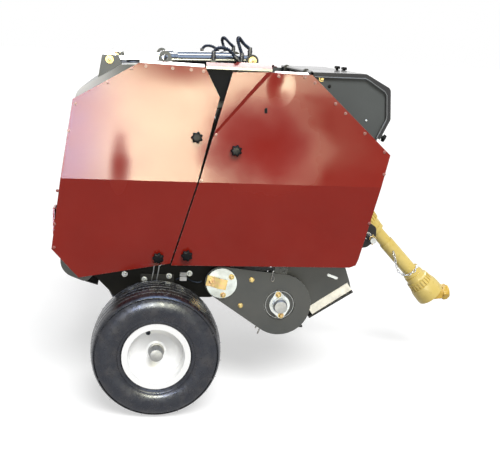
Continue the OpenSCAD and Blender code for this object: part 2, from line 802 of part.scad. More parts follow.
module ram_rod() {
    difference() {
        at_ram() {
            translate([-ram_l + 18, 0, 0])
                rotate([0, 90, 0])
                    cylinder(r = rod_r, h = ram_l - 18 - 190);
            translate([-ram_l, 0, 0])
                rotate([90, 0, 0])
                    translate([0, 0, -rod_r - 4])
                        cylinder(r = 27, h = 2 * rod_r + 8);
        }
        rod(ram_eye, ram_pin_d / 2 + eye_slack, -ram_y - 60, -ram_y + 60);
    }
}
module barrel_right() { color([0.1, 0.1, 0.1]) ram_barrel(); }
module barrel_left() { color([0.1, 0.1, 0.1]) mirror([0, 1, 0]) ram_barrel(); }
module rod_right() { color([0.8, 0.8, 0.82]) ram_rod(); }
module rod_left() { color([0.8, 0.8, 0.82]) mirror([0, 1, 0]) ram_rod(); }

// Wheels
rim_r = rim_d / 2;
bead_r = rim_r - 16;
tyre_half = tyre_w / 2;
module tyre() {
    r = tyre_d / 2;
    h = tyre_half;
    line = rounded([
        [bead_r, -h * 0.78, 4], [rim_r + 4, -h * 0.84, 8], [(rim_r + r) / 2, -h, 34], [r - 22, -h * 0.96, 16],
        [r - 7, -h * 0.74, 10], [r, -h * 0.3, 60], [r, h * 0.3, 60], [r - 7, h * 0.74, 10],
        [r - 22, h * 0.96, 16],
        [(rim_r + r) / 2, h, 34], [rim_r + 4, h * 0.84, 8], [bead_r, h * 0.78, 4]], 4);
    translate([0, -track / 2, axle_z])
        rotate([90, 0, 0])
            rotate_extrude($fn = 72)
                polygon(line);
}
module rim() {
    h = tyre_half;
    b = bead_r;
    translate([0, -track / 2, axle_z])
        rotate([90, 0, 0])
            rotate_extrude($fn = 64)
                polygon([
                    [stub_d / 2 + fit, -46], [38, -46], [38, 30], [70, 44], [b - 10, 38],
                    [b - 10, -h * 0.55], [b - 4, -h * 0.66], [b - 4, -h * 0.84 - 5], [rim_r, -h * 0.84 - 5],
                    [rim_r, -h * 0.84], [b, -h * 0.8], [b, -h * 0.66], [b - 6, -h * 0.55],
                    [b - 6, h * 0.55], [b, h * 0.66], [b, h * 0.8], [rim_r, h * 0.84],
                    [rim_r, h * 0.84 + 5], [b - 4, h * 0.84 + 5], [b - 4, h * 0.66], [b - 10, h * 0.55],
                    [b - 10, 46], [70, 50], [36, 36], [22.5, 40], [22.5, 58], [0.01, 58], [0.01, 42],
                    [stub_d / 2 + fit, 42]]);
}
module tyre_right() { color([0.06, 0.06, 0.06]) tyre(); }
module tyre_left() { color([0.06, 0.06, 0.06]) mirror([0, 1, 0]) tyre(); }
module rim_right() { color([0.85, 0.85, 0.82]) rim(); }
module rim_left() { color([0.85, 0.85, 0.82]) mirror([0, 1, 0]) rim(); }

// Pick-up: side plates, stripper bands on a cross sheet, reel with tines
pick_y = track / 2 - tyre_w / 2 + 2;
pivot_r = 30;
reel_half = half_w - 6;
tine_pitch = 2 * (reel_half - 30) / tine_n;
band_r = pick_end_r - 5;
module pick_sides() {
    color([0.3, 0.31, 0.3])
        both()
            difference() {
                across(-pick_y - pick_t, -pick_y)
                    drop(pick_pivot, pick_root_r, reel_at, pick_end_r);
                rod(pick_pivot, pivot_r + fit, -pick_y - pick_t - 1, -pick_y + 1);
                rod(reel_at, 15 + fit, -pick_y - pick_t - 1, -pick_y + 1);
                rod(reel_at, 58, -pick_y - pick_t - 1, -pick_y - 6);
            }
}
bar_in = tine_reach + clear + 2;
top_bar = [-sqrt(bar_in * bar_in - pow(band_r - 30, 2)), band_r];
low_bar = [-bar_in - 4, -2];
low_turn = 180 + acos(band_r / norm(low_bar));
module band_shape() {
    e = band_r * [cos(low_turn), sin(low_turn)];
    u = unit(low_bar - e);
    difference() {
        circle(band_r);
        circle(band_r - 3);
        polygon([[0, 0], [0, 300], [-400, 300], [-400, -100], 3 * e]);
    }
    translate([top_bar[0] - 3, band_r - 3])
        square([-top_bar[0] + 3.5, 3]);
    polygon([e - 0.5 * u, low_bar, low_bar - 3 * left(u), e - 0.5 * u - 3 * left(u)]);
}
module stripper_bands() {
    color([0.3, 0.31, 0.3])
        translate([reel_at[0], 0, reel_at[1]]) {
            for (i = [0 : tine_n])
                translate([0, -reel_half + 30 + i * tine_pitch, 0])
                    across(-band_w / 2, band_w / 2)
                        band_shape();
            translate([top_bar[0] - 6, -pick_y, band_r - 30])
                cube([6, 2 * pick_y, 30]);
            translate([low_bar[0] - 6, -pick_y, -12])
                cube([6, 2 * pick_y, 20]);
        }
}
module reel() {
    color([0.35, 0.35, 0.36]) {
        rod(reel_at, 15, -pick_y - pick_t - 8, pick_y + pick_t + 8);
        both()
            rod(reel_at, bar_ring + 12, -reel_half + 4, -reel_half + 10);
        for (i = [0 : 3])
            translate([reel_at[0], 0, reel_at[1]])
                rotate([0, i * 90 + 20, 0]) {
                    translate([0, reel_half - 5, bar_ring])
                        rotate([90, 0, 0])
                            cylinder(r = 10, h = 2 * reel_half - 10);
                    for (j = [0 : tine_n - 1])
                        translate([0, -reel_half + 30 + (j + 0.5) * tine_pitch, bar_ring + 4])
                            cylinder(r = tine_d / 2, h = tine_reach - bar_ring - 4, $fn = 24);
                }
    }
}
module pick_pivots() {
    color([0.75, 0.76, 0.78])
        both() {
            rod(pick_pivot, pivot_r, -pick_y - pick_t - 2, -wall_y);
            rod(pick_pivot, 56, -pick_y - pick_t - 8, -pick_y - pick_t - 1);
        }
}
module reel_bearings() {
    color([0.55, 0.55, 0.57])
        both()
            difference() {
                union() {
                    across(-pick_y - 18, -pick_y - 6)
                        flange_shape();
                    rod(reel_at, 28, -pick_y - 30, -pick_y - 7);
                }
                rod(reel_at, 15 + fit, -pick_y - 40, -pick_y);
            }
}
module flange_shape() {
    u = turn([0, 1], 10);
    drop(reel_at, 38, reel_at + 40 * u, 13);
    drop(reel_at, 38, reel_at - 40 * u, 13);
}

// Drive shaft: near half, sliding far half and the yoke for the tractor
module at_pto(s) {
    translate([pto_at[0], 0, pto_at[1]])
        rotate([0, 90 + pto_dip, 0])
            translate([0, 0, s])
                children();
}
cone_l = 110;
near_r = 26.5;
module cone(d, r) {
    rotate_extrude()
        polygon([
            [r, 0], [r, -12], [37.5, -23], [40, -47], [d / 2 - 10, -55], [d / 2 - 6, -75],
            [d / 2 - 4, -cone_l + 2], [d / 2, -cone_l + 2], [d / 2, -81],
            [d / 2 - 2.5, -65], [d / 2 - 7, -50], [44, -49], [41.5, -23], [45, -22], [45, -19], [38.5, -13], [38.5, 7], [36, 9], [36, 30], [r, 30]]);
}
module pto_near() {
    color([0.84, 0.66, 0.12]) {
        at_pto(cone_l + 5)
            cone(pto_cone_d, near_r - 1);
        at_pto(cone_l)
            cylinder(r = near_r, h = pto_l - 2 * cone_l - 23);
    }
}
module pto_joint() {
    color([0.35, 0.35, 0.36]) {
        rod(pto_at, cross_r, -ear_y - 4, ear_y + 4);
        at_pto(0) {
            rotate([0, 90, 0])
                translate([0, 0, -ear_y])
                    cylinder(r = cross_r, h = 2 * ear_y);
            yoke_ears(44);
            translate([0, 0, 40])
                cylinder(r = 30, h = 14);
            translate([0, 0, 50])
                cylinder(r = 15, h = cone_l - 50);
        }
    }
}
module pto_far() {
    s0 = 210;
    s1 = pto_l - cone_l - 10;
    color([0.84, 0.66, 0.12]) {
        at_pto(pto_l - cone_l - 5)
            rotate([180, 0, 0])
                cone(pto_cone_d, pto_tube_d / 2 - 1);
        at_pto(s0)
            difference() {
                cylinder(r = pto_tube_d / 2, h = s1 - s0);
                translate([0, 0, -1])
                    cylinder(r = near_r + fit, h = s1 - s0 - 6);
            }
    }
}
module pto_yoke() {
    color([0.84, 0.66, 0.12])
        translate([pto_end[0], 0, pto_end[1]])
            rotate([0, 90 + pto_dip - yoke_tilt, 0]) {
                difference() {
                    union() {
                        translate([0, 0, 38])
                            cylinder(r = hub_r, h = yoke_l - 38);
                        rotate([0, 0, 90])
                            yoke_ears(42);
                    }
                    translate([0, 0, 37])
                        cylinder(r = 17.45, h = yoke_l);
                }
                rotate([90, 0, 0])
                    translate([0, 0, -ear_y - 3])
                        cylinder(r = cross_r, h = 2 * ear_y + 6);
            }
    color([0.3, 0.3, 0.3])
        at_pto(pto_l - cone_l - 10) {
            cylinder(r = 15, h = cone_l - 38);
            translate([0, 0, cone_l - 44])
                cylinder(r = 28, h = 12);
            translate([0, 0, cone_l + 10])
                rotate([180, 0, 0])
                    yoke_ears(46);
            translate([0, 0, cone_l + 10])
                rotate([0, 90, 0])
                    translate([0, 0, -ear_y])
                        cylinder(r = cross_r, h = 2 * ear_y);
        }
}

module here() {
    translate([-mid_x, 0, 0])
        children();
}
here() frame_walls();
here() cross_tubes();
here() ram_pins();
here() axle_beam();
here() gearbox();
here() hitch_arms();
here() link_pins();
here() front_shields();
here() front_shield_knobs();
here() top_strips();
here() front_panel();
here() wind_guard();
here() guard_sheet();
here() bonnet_lid();
here() stand_sleeve();
here() stand_leg();
here() door_walls();
here() door_skin();
here() rod_brackets();
here() rod_pins();
here() rear_shields();
here() rear_shield_knobs();
here() tail_lamps();
here() front_roller_1();
here() front_roller_2();
here() front_roller_3();
here() front_roller_4();
here() front_roller_5();
here() door_roller_1();
here() door_roller_2();
here() door_roller_3();
here() door_roller_4();
here() door_roller_5();
here() barrel_right();
here() barrel_left();
here() rod_right();
here() rod_left();
here() hoses_right();
here() hoses_left();
here() tyre_right();
here() tyre_left();
here() rim_right();
here() rim_left();
here() pick_sides();
here() stripper_bands();
here() reel();
here() pick_pivots();
here() reel_bearings();
here() pto_joint();
here() pto_near();
here() pto_far();
here() pto_yoke();
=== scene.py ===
# %% [markdown]
# # A small round baler, dressed for the render
# The machine arrives as a finished set of solids: walls, rollers, shields, wheels. This lesson gives every
# one of them a surface, and adds what is too small or too soft for solids: tread, screws, hose wrap, chain
# links, lenses. All sizes are in metres, with X towards the tractor, Y to the machine's left and Z up.

import json
import math

import bmesh
import bpy
from mathutils import Matrix, Vector


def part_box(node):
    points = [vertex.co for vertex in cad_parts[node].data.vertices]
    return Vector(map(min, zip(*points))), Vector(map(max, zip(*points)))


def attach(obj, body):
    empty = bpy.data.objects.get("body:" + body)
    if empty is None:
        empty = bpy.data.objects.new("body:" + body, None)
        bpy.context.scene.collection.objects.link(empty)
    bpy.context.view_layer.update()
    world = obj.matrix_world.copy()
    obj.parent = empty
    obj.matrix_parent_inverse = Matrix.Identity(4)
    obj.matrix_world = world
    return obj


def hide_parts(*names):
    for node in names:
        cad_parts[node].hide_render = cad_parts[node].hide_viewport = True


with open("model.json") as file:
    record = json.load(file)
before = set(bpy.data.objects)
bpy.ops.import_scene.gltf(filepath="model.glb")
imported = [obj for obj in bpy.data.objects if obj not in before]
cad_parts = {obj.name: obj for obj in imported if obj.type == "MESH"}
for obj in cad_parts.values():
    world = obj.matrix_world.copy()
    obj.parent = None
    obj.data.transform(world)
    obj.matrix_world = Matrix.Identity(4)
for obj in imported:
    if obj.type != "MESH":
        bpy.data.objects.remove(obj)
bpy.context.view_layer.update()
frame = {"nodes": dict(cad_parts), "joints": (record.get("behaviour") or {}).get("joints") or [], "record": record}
nodes = frame["nodes"]
pivots = {j["name"]: Vector(j["pos_m"]) for j in frame["joints"] if "pos_m" in j}
bodies = frame["record"]["behaviour"]["bodies"]
nodes_body = {name: body for body, names in bodies.items() for name in names}
SIDES = (("right", -1), ("left", 1))

# %% [markdown]
# Places on the machine are easiest to give from the middle of the bale chamber, as its drawings do. The
# door's hinge lies 170 mm in front of that middle and 295 mm above it, so one known pivot fixes the whole
# grid.

# %% The chamber's middle and the main planes
HINGE_FROM_MIDDLE = Vector((0.170, 0, 0.295))
middle = pivots["door_open"] - HINGE_FROM_MIDDLE
CREASE_Y = 0.480
LEAN_TOP = 0.060
LEAN_LOW = 0.040
CREASE_UP = 0.014
TOP_UP = 0.391
LOW_UP = -0.294


def at(dx, y, dz):
    """A place given in millimetres from the chamber's middle, with y from the middle plane."""
    return Vector((middle.x + dx / 1000, y / 1000, middle.z + dz / 1000))


def shield_y(dz):
    """How far a side shield's outer face is from the middle plane, at a height over the middle."""
    if dz > CREASE_UP:
        return CREASE_Y - LEAN_TOP * (dz - CREASE_UP) / (TOP_UP - CREASE_UP)
    return CREASE_Y - LEAN_LOW * (CREASE_UP - dz) / (CREASE_UP - LOW_UP)


def shield_normal(dz, side):
    """Outward direction of a side shield: the upper half looks up a little, the lower half down."""
    if dz > CREASE_UP:
        lean = math.atan(LEAN_TOP / (TOP_UP - CREASE_UP))
    else:
        lean = -math.atan(LEAN_LOW / (CREASE_UP - LOW_UP))
    return Vector((0, side * math.cos(lean), math.sin(lean)))


print("chamber middle", [round(v, 3) for v in middle])

# %% [markdown]
# ## Camera
# The photograph was taken from the right, at about head height and three metres away, with the camera
# turned a little to the front, tipped down, and not quite level. The three angles below rebuild exactly
# that view, so shapes can be compared with the photograph edge by edge.

# %% Place the camera
AXLE_X = pivots["wheel_turn_right"].x
EYE = Vector((AXLE_X - 0.049, -3.2425, 1.3058))
YAW, PITCH, ROLL = 0.1317, 0.2219, 0.0519
FOCAL_PX, FRAME_PX = 814.0, 500.0
SENSOR_MM = 36.0

look = Vector((math.sin(YAW) * math.cos(PITCH), math.cos(YAW) * math.cos(PITCH), -math.sin(PITCH)))
level = Vector((math.cos(YAW), -math.sin(YAW), 0))
over = level.cross(look)
right = math.cos(ROLL) * level + math.sin(ROLL) * over
up = -math.sin(ROLL) * level + math.cos(ROLL) * over


def in_scene(name, data):
    """A new object in the scene."""
    made = bpy.data.objects.new(name, data)
    bpy.context.scene.collection.objects.link(made)
    return made


camera = in_scene("camera", bpy.data.cameras.new("camera"))
camera.data.sensor_width = SENSOR_MM
camera.data.lens = FOCAL_PX / FRAME_PX * SENSOR_MM
turn = Matrix((right, up, -look)).transposed().to_4x4()
camera.matrix_world = Matrix.Translation(EYE) @ turn
bpy.context.scene.camera = camera
print("lens", round(camera.data.lens, 1), "mm")

# %% [markdown]
# ## Small tools for materials
# A finish here is one Principled shader, fed by a few patterns that read Object coordinates, so that dust
# and scratches keep their real size on every piece. The helpers below only shorten the writing: a node with
# its inputs, a cloudy pattern between 0 and 1, a mix of two colours, a bump, and a mask that finds worn
# edges.

# %% Node helpers


def node(tree, kind, inputs=None, **settings):
    made = tree.nodes.new(kind)
    for key, value in settings.items():
        setattr(made, key, value)
    for key, value in (inputs or {}).items():
        if isinstance(value, bpy.types.NodeSocket):
            tree.links.new(value, made.inputs[key])
        else:
            made.inputs[key].default_value = value
    return made


def start_finish(name, colour, rough, metal=0.0, coat=0.0, coat_rough=0.1):
    """A new material with one Principled shader, and its tree."""
    finish = bpy.data.materials.new(name)
    finish.use_nodes = True
    tree = finish.node_tree
    shader = tree.nodes["Principled BSDF"]
    shader.inputs["Base Color"].default_value = (*colour, 1)
    shader.inputs["Roughness"].default_value = rough
    shader.inputs["Metallic"].default_value = metal
    shader.inputs["Coat Weight"].default_value = coat
    shader.inputs["Coat Roughness"].default_value = coat_rough
    finish.diffuse_color = (*colour, 1)
    return finish, tree, shader


def place(tree, stretch=(1, 1, 1)):
    """Object coordinates in metres, stretched along the axes."""
    coords = node(tree, "ShaderNodeTexCoord")
    return node(tree, "ShaderNodeMapping", {"Vector": coords.outputs["Object"],
                                            "Scale": stretch}).outputs["Vector"]


def cloud(tree, spots_per_m, low=0.35, high=0.65, detail=4.0, stretch=(1, 1, 1)):
    """A soft cloudy pattern from 0 to 1."""
    noise = node(tree, "ShaderNodeTexNoise", {"Vector": place(tree, stretch), "Scale": spots_per_m,
                                              "Detail": detail})
    span = node(tree, "ShaderNodeMapRange", {"Value": noise.outputs["Fac"], "From Min": low,
                                             "From Max": high})
    return span.outputs["Result"]


def height(tree, low, high):
    """1 at the low height, fading to 0 at the high one, for dust that gathers near the ground and for painted
    shade low down.
    """
    split = node(tree, "ShaderNodeSeparateXYZ", {"Vector": place(tree)})
    span = node(tree, "ShaderNodeMapRange", {"Value": split.outputs["Z"], "From Min": high,
                                             "From Max": low})
    return span.outputs["Result"]


def times(tree, a, b):
    return node(tree, "ShaderNodeMath", {0: a, 1: b}, operation="MULTIPLY", use_clamp=True).outputs[0]


def plus(tree, a, b):
    return node(tree, "ShaderNodeMath", {0: a, 1: b}, operation="ADD", use_clamp=True).outputs[0]


def blend(tree, mask, a, b):
    """Colour a where the mask is 0, colour b where it is 1. Each may be a colour or a socket."""
    mix = node(tree, "ShaderNodeMix", {"Factor": mask}, data_type="RGBA")
    for key, value in (("A", a), ("B", b)):
        socket = [s for s in mix.inputs if s.name == key and s.type == "RGBA"][0]
        if isinstance(value, bpy.types.NodeSocket):
            tree.links.new(value, socket)
        else:
            socket.default_value = (*value, 1)
    return [s for s in mix.outputs if s.type == "RGBA"][0]


def between(tree, mask, a, b):
    """A number from a to b, as the mask goes from 0 to 1."""
    return node(tree, "ShaderNodeMapRange", {"Value": mask, "To Min": a, "To Max": b}).outputs["Result"]


def relief(tree, shader, pattern, depth, strength=0.5):
    bump = node(tree, "ShaderNodeBump", {"Height": pattern, "Distance": depth, "Strength": strength})
    tree.links.new(bump.outputs["Normal"], shader.inputs["Normal"])
    return bump


def worn_edge(tree, width, breakup):
    """A mask on outer edges, where the rounded normal differs from the true one. The breakup frays it."""
    rounded = node(tree, "ShaderNodeBevel", {"Radius": width}, samples=6)
    true = node(tree, "ShaderNodeNewGeometry")
    dot = node(tree, "ShaderNodeVectorMath", {0: rounded.outputs["Normal"], 1: true.outputs["Normal"]},
               operation="DOT_PRODUCT")
    edge = node(tree, "ShaderNodeMapRange", {"Value": dot.outputs["Value"], "From Min": 0.985,
                                             "From Max": 0.8})
    return times(tree, edge.outputs["Result"], breakup)


def feed(tree, shader, **sockets):
    names = {"colour": "Base Color", "rough": "Roughness", "metal": "Metallic", "coat": "Coat Weight"}
    for key, socket in sockets.items():
        tree.links.new(socket, shader.inputs[names[key]])


print("material helpers ready")

# %% [markdown]
# ## Sheet paint
# The shields are gloss-painted sheet steel. Up close, such paint shows an orange-peel skin, faint wipe
# marks and a film of dust that thickens towards the bottom. Edges lose paint first, a knock leaves a
# shallow dent, and rubbing leaves a dull scuff. One function makes every painted sheet, so red, grey and
# black differ only in their values. Some finishes also carry painted light: a dark colour under a height
# is painted shade, and a patch round a place is a painted reflection where pale and painted shade where dark.

# %% Painted sheet
DUST = (0.34, 0.29, 0.23)
PRIMER = (0.30, 0.29, 0.28)
SCUFF_FRAY = 0.11
PEEL_DEPTH, DENT_DEPTH = 0.0002, 0.004


def sheet_paint(name, colour, gloss, dust=0.5, coat=0.0, mottle=0.12, wear=0.0015, shine=0.5, bare=PRIMER,
                below=None, dents=(), peel=0.25, scuffs=(), painted_light_patch=None):
    """Paint on sheet steel. Below is a dark colour under a height, used as painted shade, and the patch a colour
    round a place: a painted reflection where pale, painted shade where dark. Dents are places pushed in, with
    their reach. Scuffs are places that lost gloss, with reach and loss.
    """
    finish, tree, shader = start_finish(name, colour, gloss, coat=coat, coat_rough=0.10)
    shader.inputs["Specular IOR Level"].default_value = shine
    deep = tuple(c * (1 - mottle) for c in colour)
    pale = tuple(min(1, c * (1 + mottle) + 0.002) for c in colour)
    tone = blend(tree, cloud(tree, 5, 0.3, 0.7), deep, pale)
    # Painted light: the colour below a height is painted shade, and the patch is a painted reflection where pale
    # and painted shade where dark.
    if below:
        tone = blend(tree, height(tree, *below[1]), tone, below[0])
    if painted_light_patch:
        tone = blend(tree, round_spot(tree, *painted_light_patch[1]), tone, painted_light_patch[0])
    speck = cloud(tree, 900, 0.62, 0.70, 2)
    film = times(tree, plus(tree, height(tree, 0.35, 1.0), 0.12), cloud(tree, 11, 0.35, 0.85, 6))
    film = plus(tree, times(tree, film, dust * 0.55), times(tree, speck, dust * 0.10))
    tone = blend(tree, film, tone, DUST)
    # Worn edges, and on the shields also a painted highlight, as their edge colour is pale.
    chips_and_edge_highlight = worn_edge(tree, wear, cloud(tree, 120, 0.45, 0.62, 5))
    tone = blend(tree, chips_and_edge_highlight, tone, bare)
    wipes = cloud(tree, 7, 0.3, 0.8, 3, (1, 1, 1.5))
    rough = plus(tree, between(tree, wipes, gloss - 0.03, gloss + 0.05), times(tree, film, 0.4))
    for spot, reach, dulling in scuffs:
        rough = plus(tree, rough, times(tree, round_spot(tree, spot, reach, SCUFF_FRAY), dulling))
    feed(tree, shader, colour=tone, rough=rough)
    skin = relief(tree, shader, cloud(tree, 260, 0.2, 0.8, 2), PEEL_DEPTH, peel)
    if dents:
        pushed = [round_spot(tree, spot, reach) for spot, reach in dents]
        deepest = pushed[0]
        for other in pushed[1:]:
            deepest = node(tree, "ShaderNodeMath", {0: deepest, 1: other}, operation="MAXIMUM").outputs[0]
        hollow = node(tree, "ShaderNodeBump", {"Height": deepest, "Distance": DENT_DEPTH, "Strength": 1.0},
                      invert=True)
        tree.links.new(hollow.outputs["Normal"], skin.inputs["Normal"])
    return finish


def round_spot(tree, spot, reach, fray=0.0):
    """1 in the middle of a place on the side plane, 0 from its reach along X and Z on. Fray roughens it."""
    off = node(tree, "ShaderNodeVectorMath", {0: place(tree), 1: tuple(at(spot[0], 0, spot[1]))},
               operation="SUBTRACT")
    scaled = node(tree, "ShaderNodeVectorMath",
                  {0: off.outputs["Vector"], 1: (1000 / reach[0], 0, 1000 / reach[1])},
                  operation="MULTIPLY")
    far = node(tree, "ShaderNodeVectorMath", {0: scaled.outputs["Vector"]}, operation="LENGTH")
    reached = far.outputs["Value"]
    if fray:
        reached = node(tree, "ShaderNodeMath", {0: reached, 1: between(tree, cloud(tree, 7), -fray, fray)},
                       operation="ADD").outputs[0]
    return node(tree, "ShaderNodeMapRange", {"Value": reached, "From Min": 1.0, "From Max": 0.0},
                interpolation_type="SMOOTHSTEP").outputs["Result"]


SHIELD_RED = (0.235, 0.0095, 0.0030)
GRAPHITE = (0.029, 0.032, 0.031)
CHASSIS = (0.007, 0.007, 0.0068)
BONNET_BLACK = (0.010, 0.010, 0.011)
SHIELD_DENTS = (((40, 500), (260, 200)), ((372, 345), (55, 90)), ((480, 185), (260, 150)))
SHIELD_SCUFFS = (((-176, 58), (54, 145), 0.40), ((-388, 90), (40, 105), 0.50),
                 ((-385, 170), (30, 40), 0.50), ((322, 145), (262, 232), 0.75))
# The shields' pale edge colour is partly wear and partly a painted highlight, a light line along their edges.
red_paint = sheet_paint("shield_red_paint", SHIELD_RED, 0.15, dust=0.04, mottle=0.05, shine=0.20,
                        bare=(0.52, 0.44, 0.42), dents=SHIELD_DENTS, scuffs=SHIELD_SCUFFS, peel=0.09)
# The strip's lip, under its top, is painted near-black: painted shade.
strip_paint = sheet_paint("strip_red_paint", SHIELD_RED, 0.16, dust=0.04, coat=0.8, shine=0.6, peel=0.06,
                          below=((0.006, 0.005, 0.005), (middle.z + 0.400, middle.z + 0.403)))
flange_paint = sheet_paint("flange_red_paint", SHIELD_RED, 0.16, dust=0.04, coat=0.8, shine=0.6, peel=0.06)
# The pale patch high at the door walls' rear is a painted reflection of the sky.
door_paint = sheet_paint("door_wall_paint", GRAPHITE, 0.48, dust=0.14, mottle=0.06,
                         painted_light_patch=((0.72, 0.72, 0.70), ((-350, 330), (230, 150))))
# Near-black for the sheet behind the shields' notch, which is painted shade, and for the slot plug.
seal_black = sheet_paint("seal_black", (0.0025, 0.0027, 0.004), 0.6, dust=0.0, shine=0.1)
graphite_paint = sheet_paint("graphite_paint", GRAPHITE, 0.48, dust=0.14, mottle=0.06,
                             bare=(0.45, 0.44, 0.40))
# The walls go near-black low down and in a dark patch round the shields' join: painted shade under and behind the
# shields.
wall_paint = sheet_paint("wall_paint", (0.098, 0.106, 0.104), 0.46, dust=0.06, mottle=0.06, shine=0.07,
                         below=((0.005, 0.005, 0.0045), (0.52, 0.64)),
                         painted_light_patch=((0.003, 0.003, 0.003), ((140, 180), (300, 420))))
chassis_paint = sheet_paint("chassis_paint", CHASSIS, 0.42, dust=0.07, shine=0.25)
bonnet_paint = sheet_paint("bonnet_black_paint", BONNET_BLACK, 0.16, dust=0.10, coat=0.3)
# The skin's light grey is partly a painted reflection of the sky, and its dark lower band is a painted reflection
# of the ground.
skin_paint = sheet_paint("door_skin_paint", (0.235, 0.238, 0.232), 0.30, dust=0.20,
                         below=((0.016, 0.017, 0.020), (0.59, 0.66)))
rim_paint = sheet_paint("rim_white_paint", (0.88, 0.88, 0.87), 0.35, dust=0.06, mottle=0.02)
barrel_paint = sheet_paint("barrel_black_paint", (0.014, 0.014, 0.016), 0.22, dust=0.15, coat=0.3)
yoke_paint = sheet_paint("yoke_yellow_paint", (0.58, 0.36, 0.035), 0.36, dust=0.15)
screw_red = sheet_paint("screw_red_paint", (0.30, 0.07, 0.055), 0.30, dust=0.15)
# The bead's grey, lighter than the black lid, is a painted highlight along the lid's rim.
bead_highlight_paint = sheet_paint("bead_grey_paint", (0.16, 0.17, 0.17), 0.32, dust=0.15)
print("painted finishes:", 15)

# %% [markdown]
# ## Bare and plated metal
# Zinc plate is grey-white with a crystalline spangle, yellow passivation tints it gold with a rainbow cast,
# galvanised strip has larger flakes, and rollers are bare steel, grained along their length where hay rubs them.
# Chrome only needs a few smears in its roughness.

# %% Metals


def metal(name, colour, rough, spangle=0.0, tint=None, grain=(1, 1, 1)):
    finish, tree, shader = start_finish(name, colour, rough, metal=1.0)
    dull = tuple(c * 0.72 for c in colour)
    tone = blend(tree, cloud(tree, 40, 0.3, 0.7, 6, grain), dull, colour)
    if tint:
        tone = blend(tree, cloud(tree, 70, 0.45, 0.75, 3), tone, tint)
    rough_by = cloud(tree, 90, 0.25, 0.75, 6, grain)
    if spangle:
        flakes = node(tree, "ShaderNodeTexVoronoi", {"Vector": place(tree), "Scale": spangle})
        bright = node(tree, "ShaderNodeRGBToBW", {"Color": flakes.outputs["Color"]}).outputs[0]
        tone = blend(tree, times(tree, bright, 0.35), tone, tuple(min(1, c * 1.25) for c in colour))
        rough_by = plus(tree, times(tree, rough_by, 0.6), times(tree, bright, 0.4))
    grime = times(tree, cloud(tree, 16, 0.5, 0.85, 8), 0.5)
    tone = blend(tree, grime, tone, (0.10, 0.085, 0.07))
    feed(tree, shader, colour=tone, rough=between(tree, rough_by, rough - 0.06, rough + 0.16))
    relief(tree, shader, cloud(tree, 500, 0.3, 0.7, 3, grain), 0.0001, 0.3)
    return finish


zinc = metal("zinc_plate", (0.42, 0.43, 0.44), 0.34, spangle=420)
gold_zinc = metal("yellow_zinc_plate", (0.52, 0.40, 0.165), 0.38, tint=(0.54, 0.32, 0.19))
pale_zinc = metal("pale_zinc_disc", (0.50, 0.53, 0.535), 0.54, spangle=260)
dark_steel = metal("blackened_fittings", (0.085, 0.085, 0.09), 0.36)
galvanised = metal("galvanised_strip", (0.52, 0.50, 0.46), 0.50, spangle=130)
bright_chrome = metal("piston_chrome", (0.78, 0.78, 0.80), 0.10)
roller_steel = metal("roller_steel", (0.42, 0.41, 0.40), 0.38, grain=(1, 0.05, 1))
tine_steel = metal("tine_steel", (0.30, 0.29, 0.28), 0.40)
cast_grey = metal("bearing_flange_zinc", (0.52, 0.54, 0.56), 0.46, spangle=300)
cap_steel = metal("pressed_cap_steel", (0.34, 0.34, 0.34), 0.55)
chain_zinc = metal("chain_zinc", (0.60, 0.60, 0.61), 0.36)
print("metals:", 11)

# %% [markdown]
# ## Rubber, plastic and lenses
# The tyres are new and still carry their gloss. The blue tint in the gloss of tyres and hoses is a painted
# reflection of blue sky. Guards on the drive shaft are moulded yellow plastic, sun-bleached a little in
# patches. Knobs are black glass-filled plastic with a fine texture. Lamp lenses let some light in.

# %% Rubber and plastic


def moulded(name, colour, rough, bleach=None, grain=700, depth=0.00025, dust=0.4, shine=0.5,
            sky_tint=(1, 1, 1)):
    """Moulded rubber or plastic. The gloss tint colours its gloss; a blue one is a painted reflection of blue sky.
    """
    finish, tree, shader = start_finish(name, colour, rough)
    shader.inputs["Specular IOR Level"].default_value = shine
    shader.inputs["Specular Tint"].default_value = (*sky_tint, 1)
    tone = blend(tree, cloud(tree, 9, 0.3, 0.7), tuple(c * 0.85 for c in colour), colour)
    if bleach:
        tone = blend(tree, times(tree, cloud(tree, 6, 0.35, 0.75, 5), 0.6), tone, bleach)
    film = times(tree, cloud(tree, 25, 0.45, 0.85, 7), dust)
    tone = blend(tree, film, tone, DUST)
    uneven = between(tree, cloud(tree, 60), rough - 0.06, rough + 0.08)
    feed(tree, shader, colour=tone, rough=plus(tree, uneven, times(tree, film, 0.3)))
    relief(tree, shader, cloud(tree, grain, 0.3, 0.7, 3), depth, 0.35)
    return finish


# Blue gloss tints for hoses and tyres: a painted reflection of blue sky.
BLUE_SKY_GLOSS_TINT = (0.50, 0.64, 1.0)
TYRE_SKY_GLOSS_TINT = (0.78, 0.82, 0.96)
tyre_rubber = moulded("tyre_rubber", (0.0085, 0.0090, 0.0110), 0.27, grain=300, depth=0.0002, dust=0.11,
                      shine=0.58, sky_tint=TYRE_SKY_GLOSS_TINT)
hose_rubber = moulded("hose_rubber", (0.006, 0.007, 0.010), 0.40, dust=0.03, shine=0.30, sky_tint=BLUE_SKY_GLOSS_TINT)
knob_plastic = moulded("knob_plastic", (0.006, 0.006, 0.007), 0.34, dust=0.02, shine=0.09)
guard_yellow = moulded("guard_yellow_plastic", (0.66, 0.48, 0.105), 0.30, bleach=(0.74, 0.60, 0.21),
                       dust=0.05)
gearbox_cast = moulded("gearbox_casting", (0.020, 0.020, 0.021), 0.5, grain=160, depth=0.0008, dust=0.25)
white_plastic = moulded("plug_white_plastic", (0.92, 0.91, 0.88), 0.40, dust=0.08)
print("rubber and plastic:", 6)


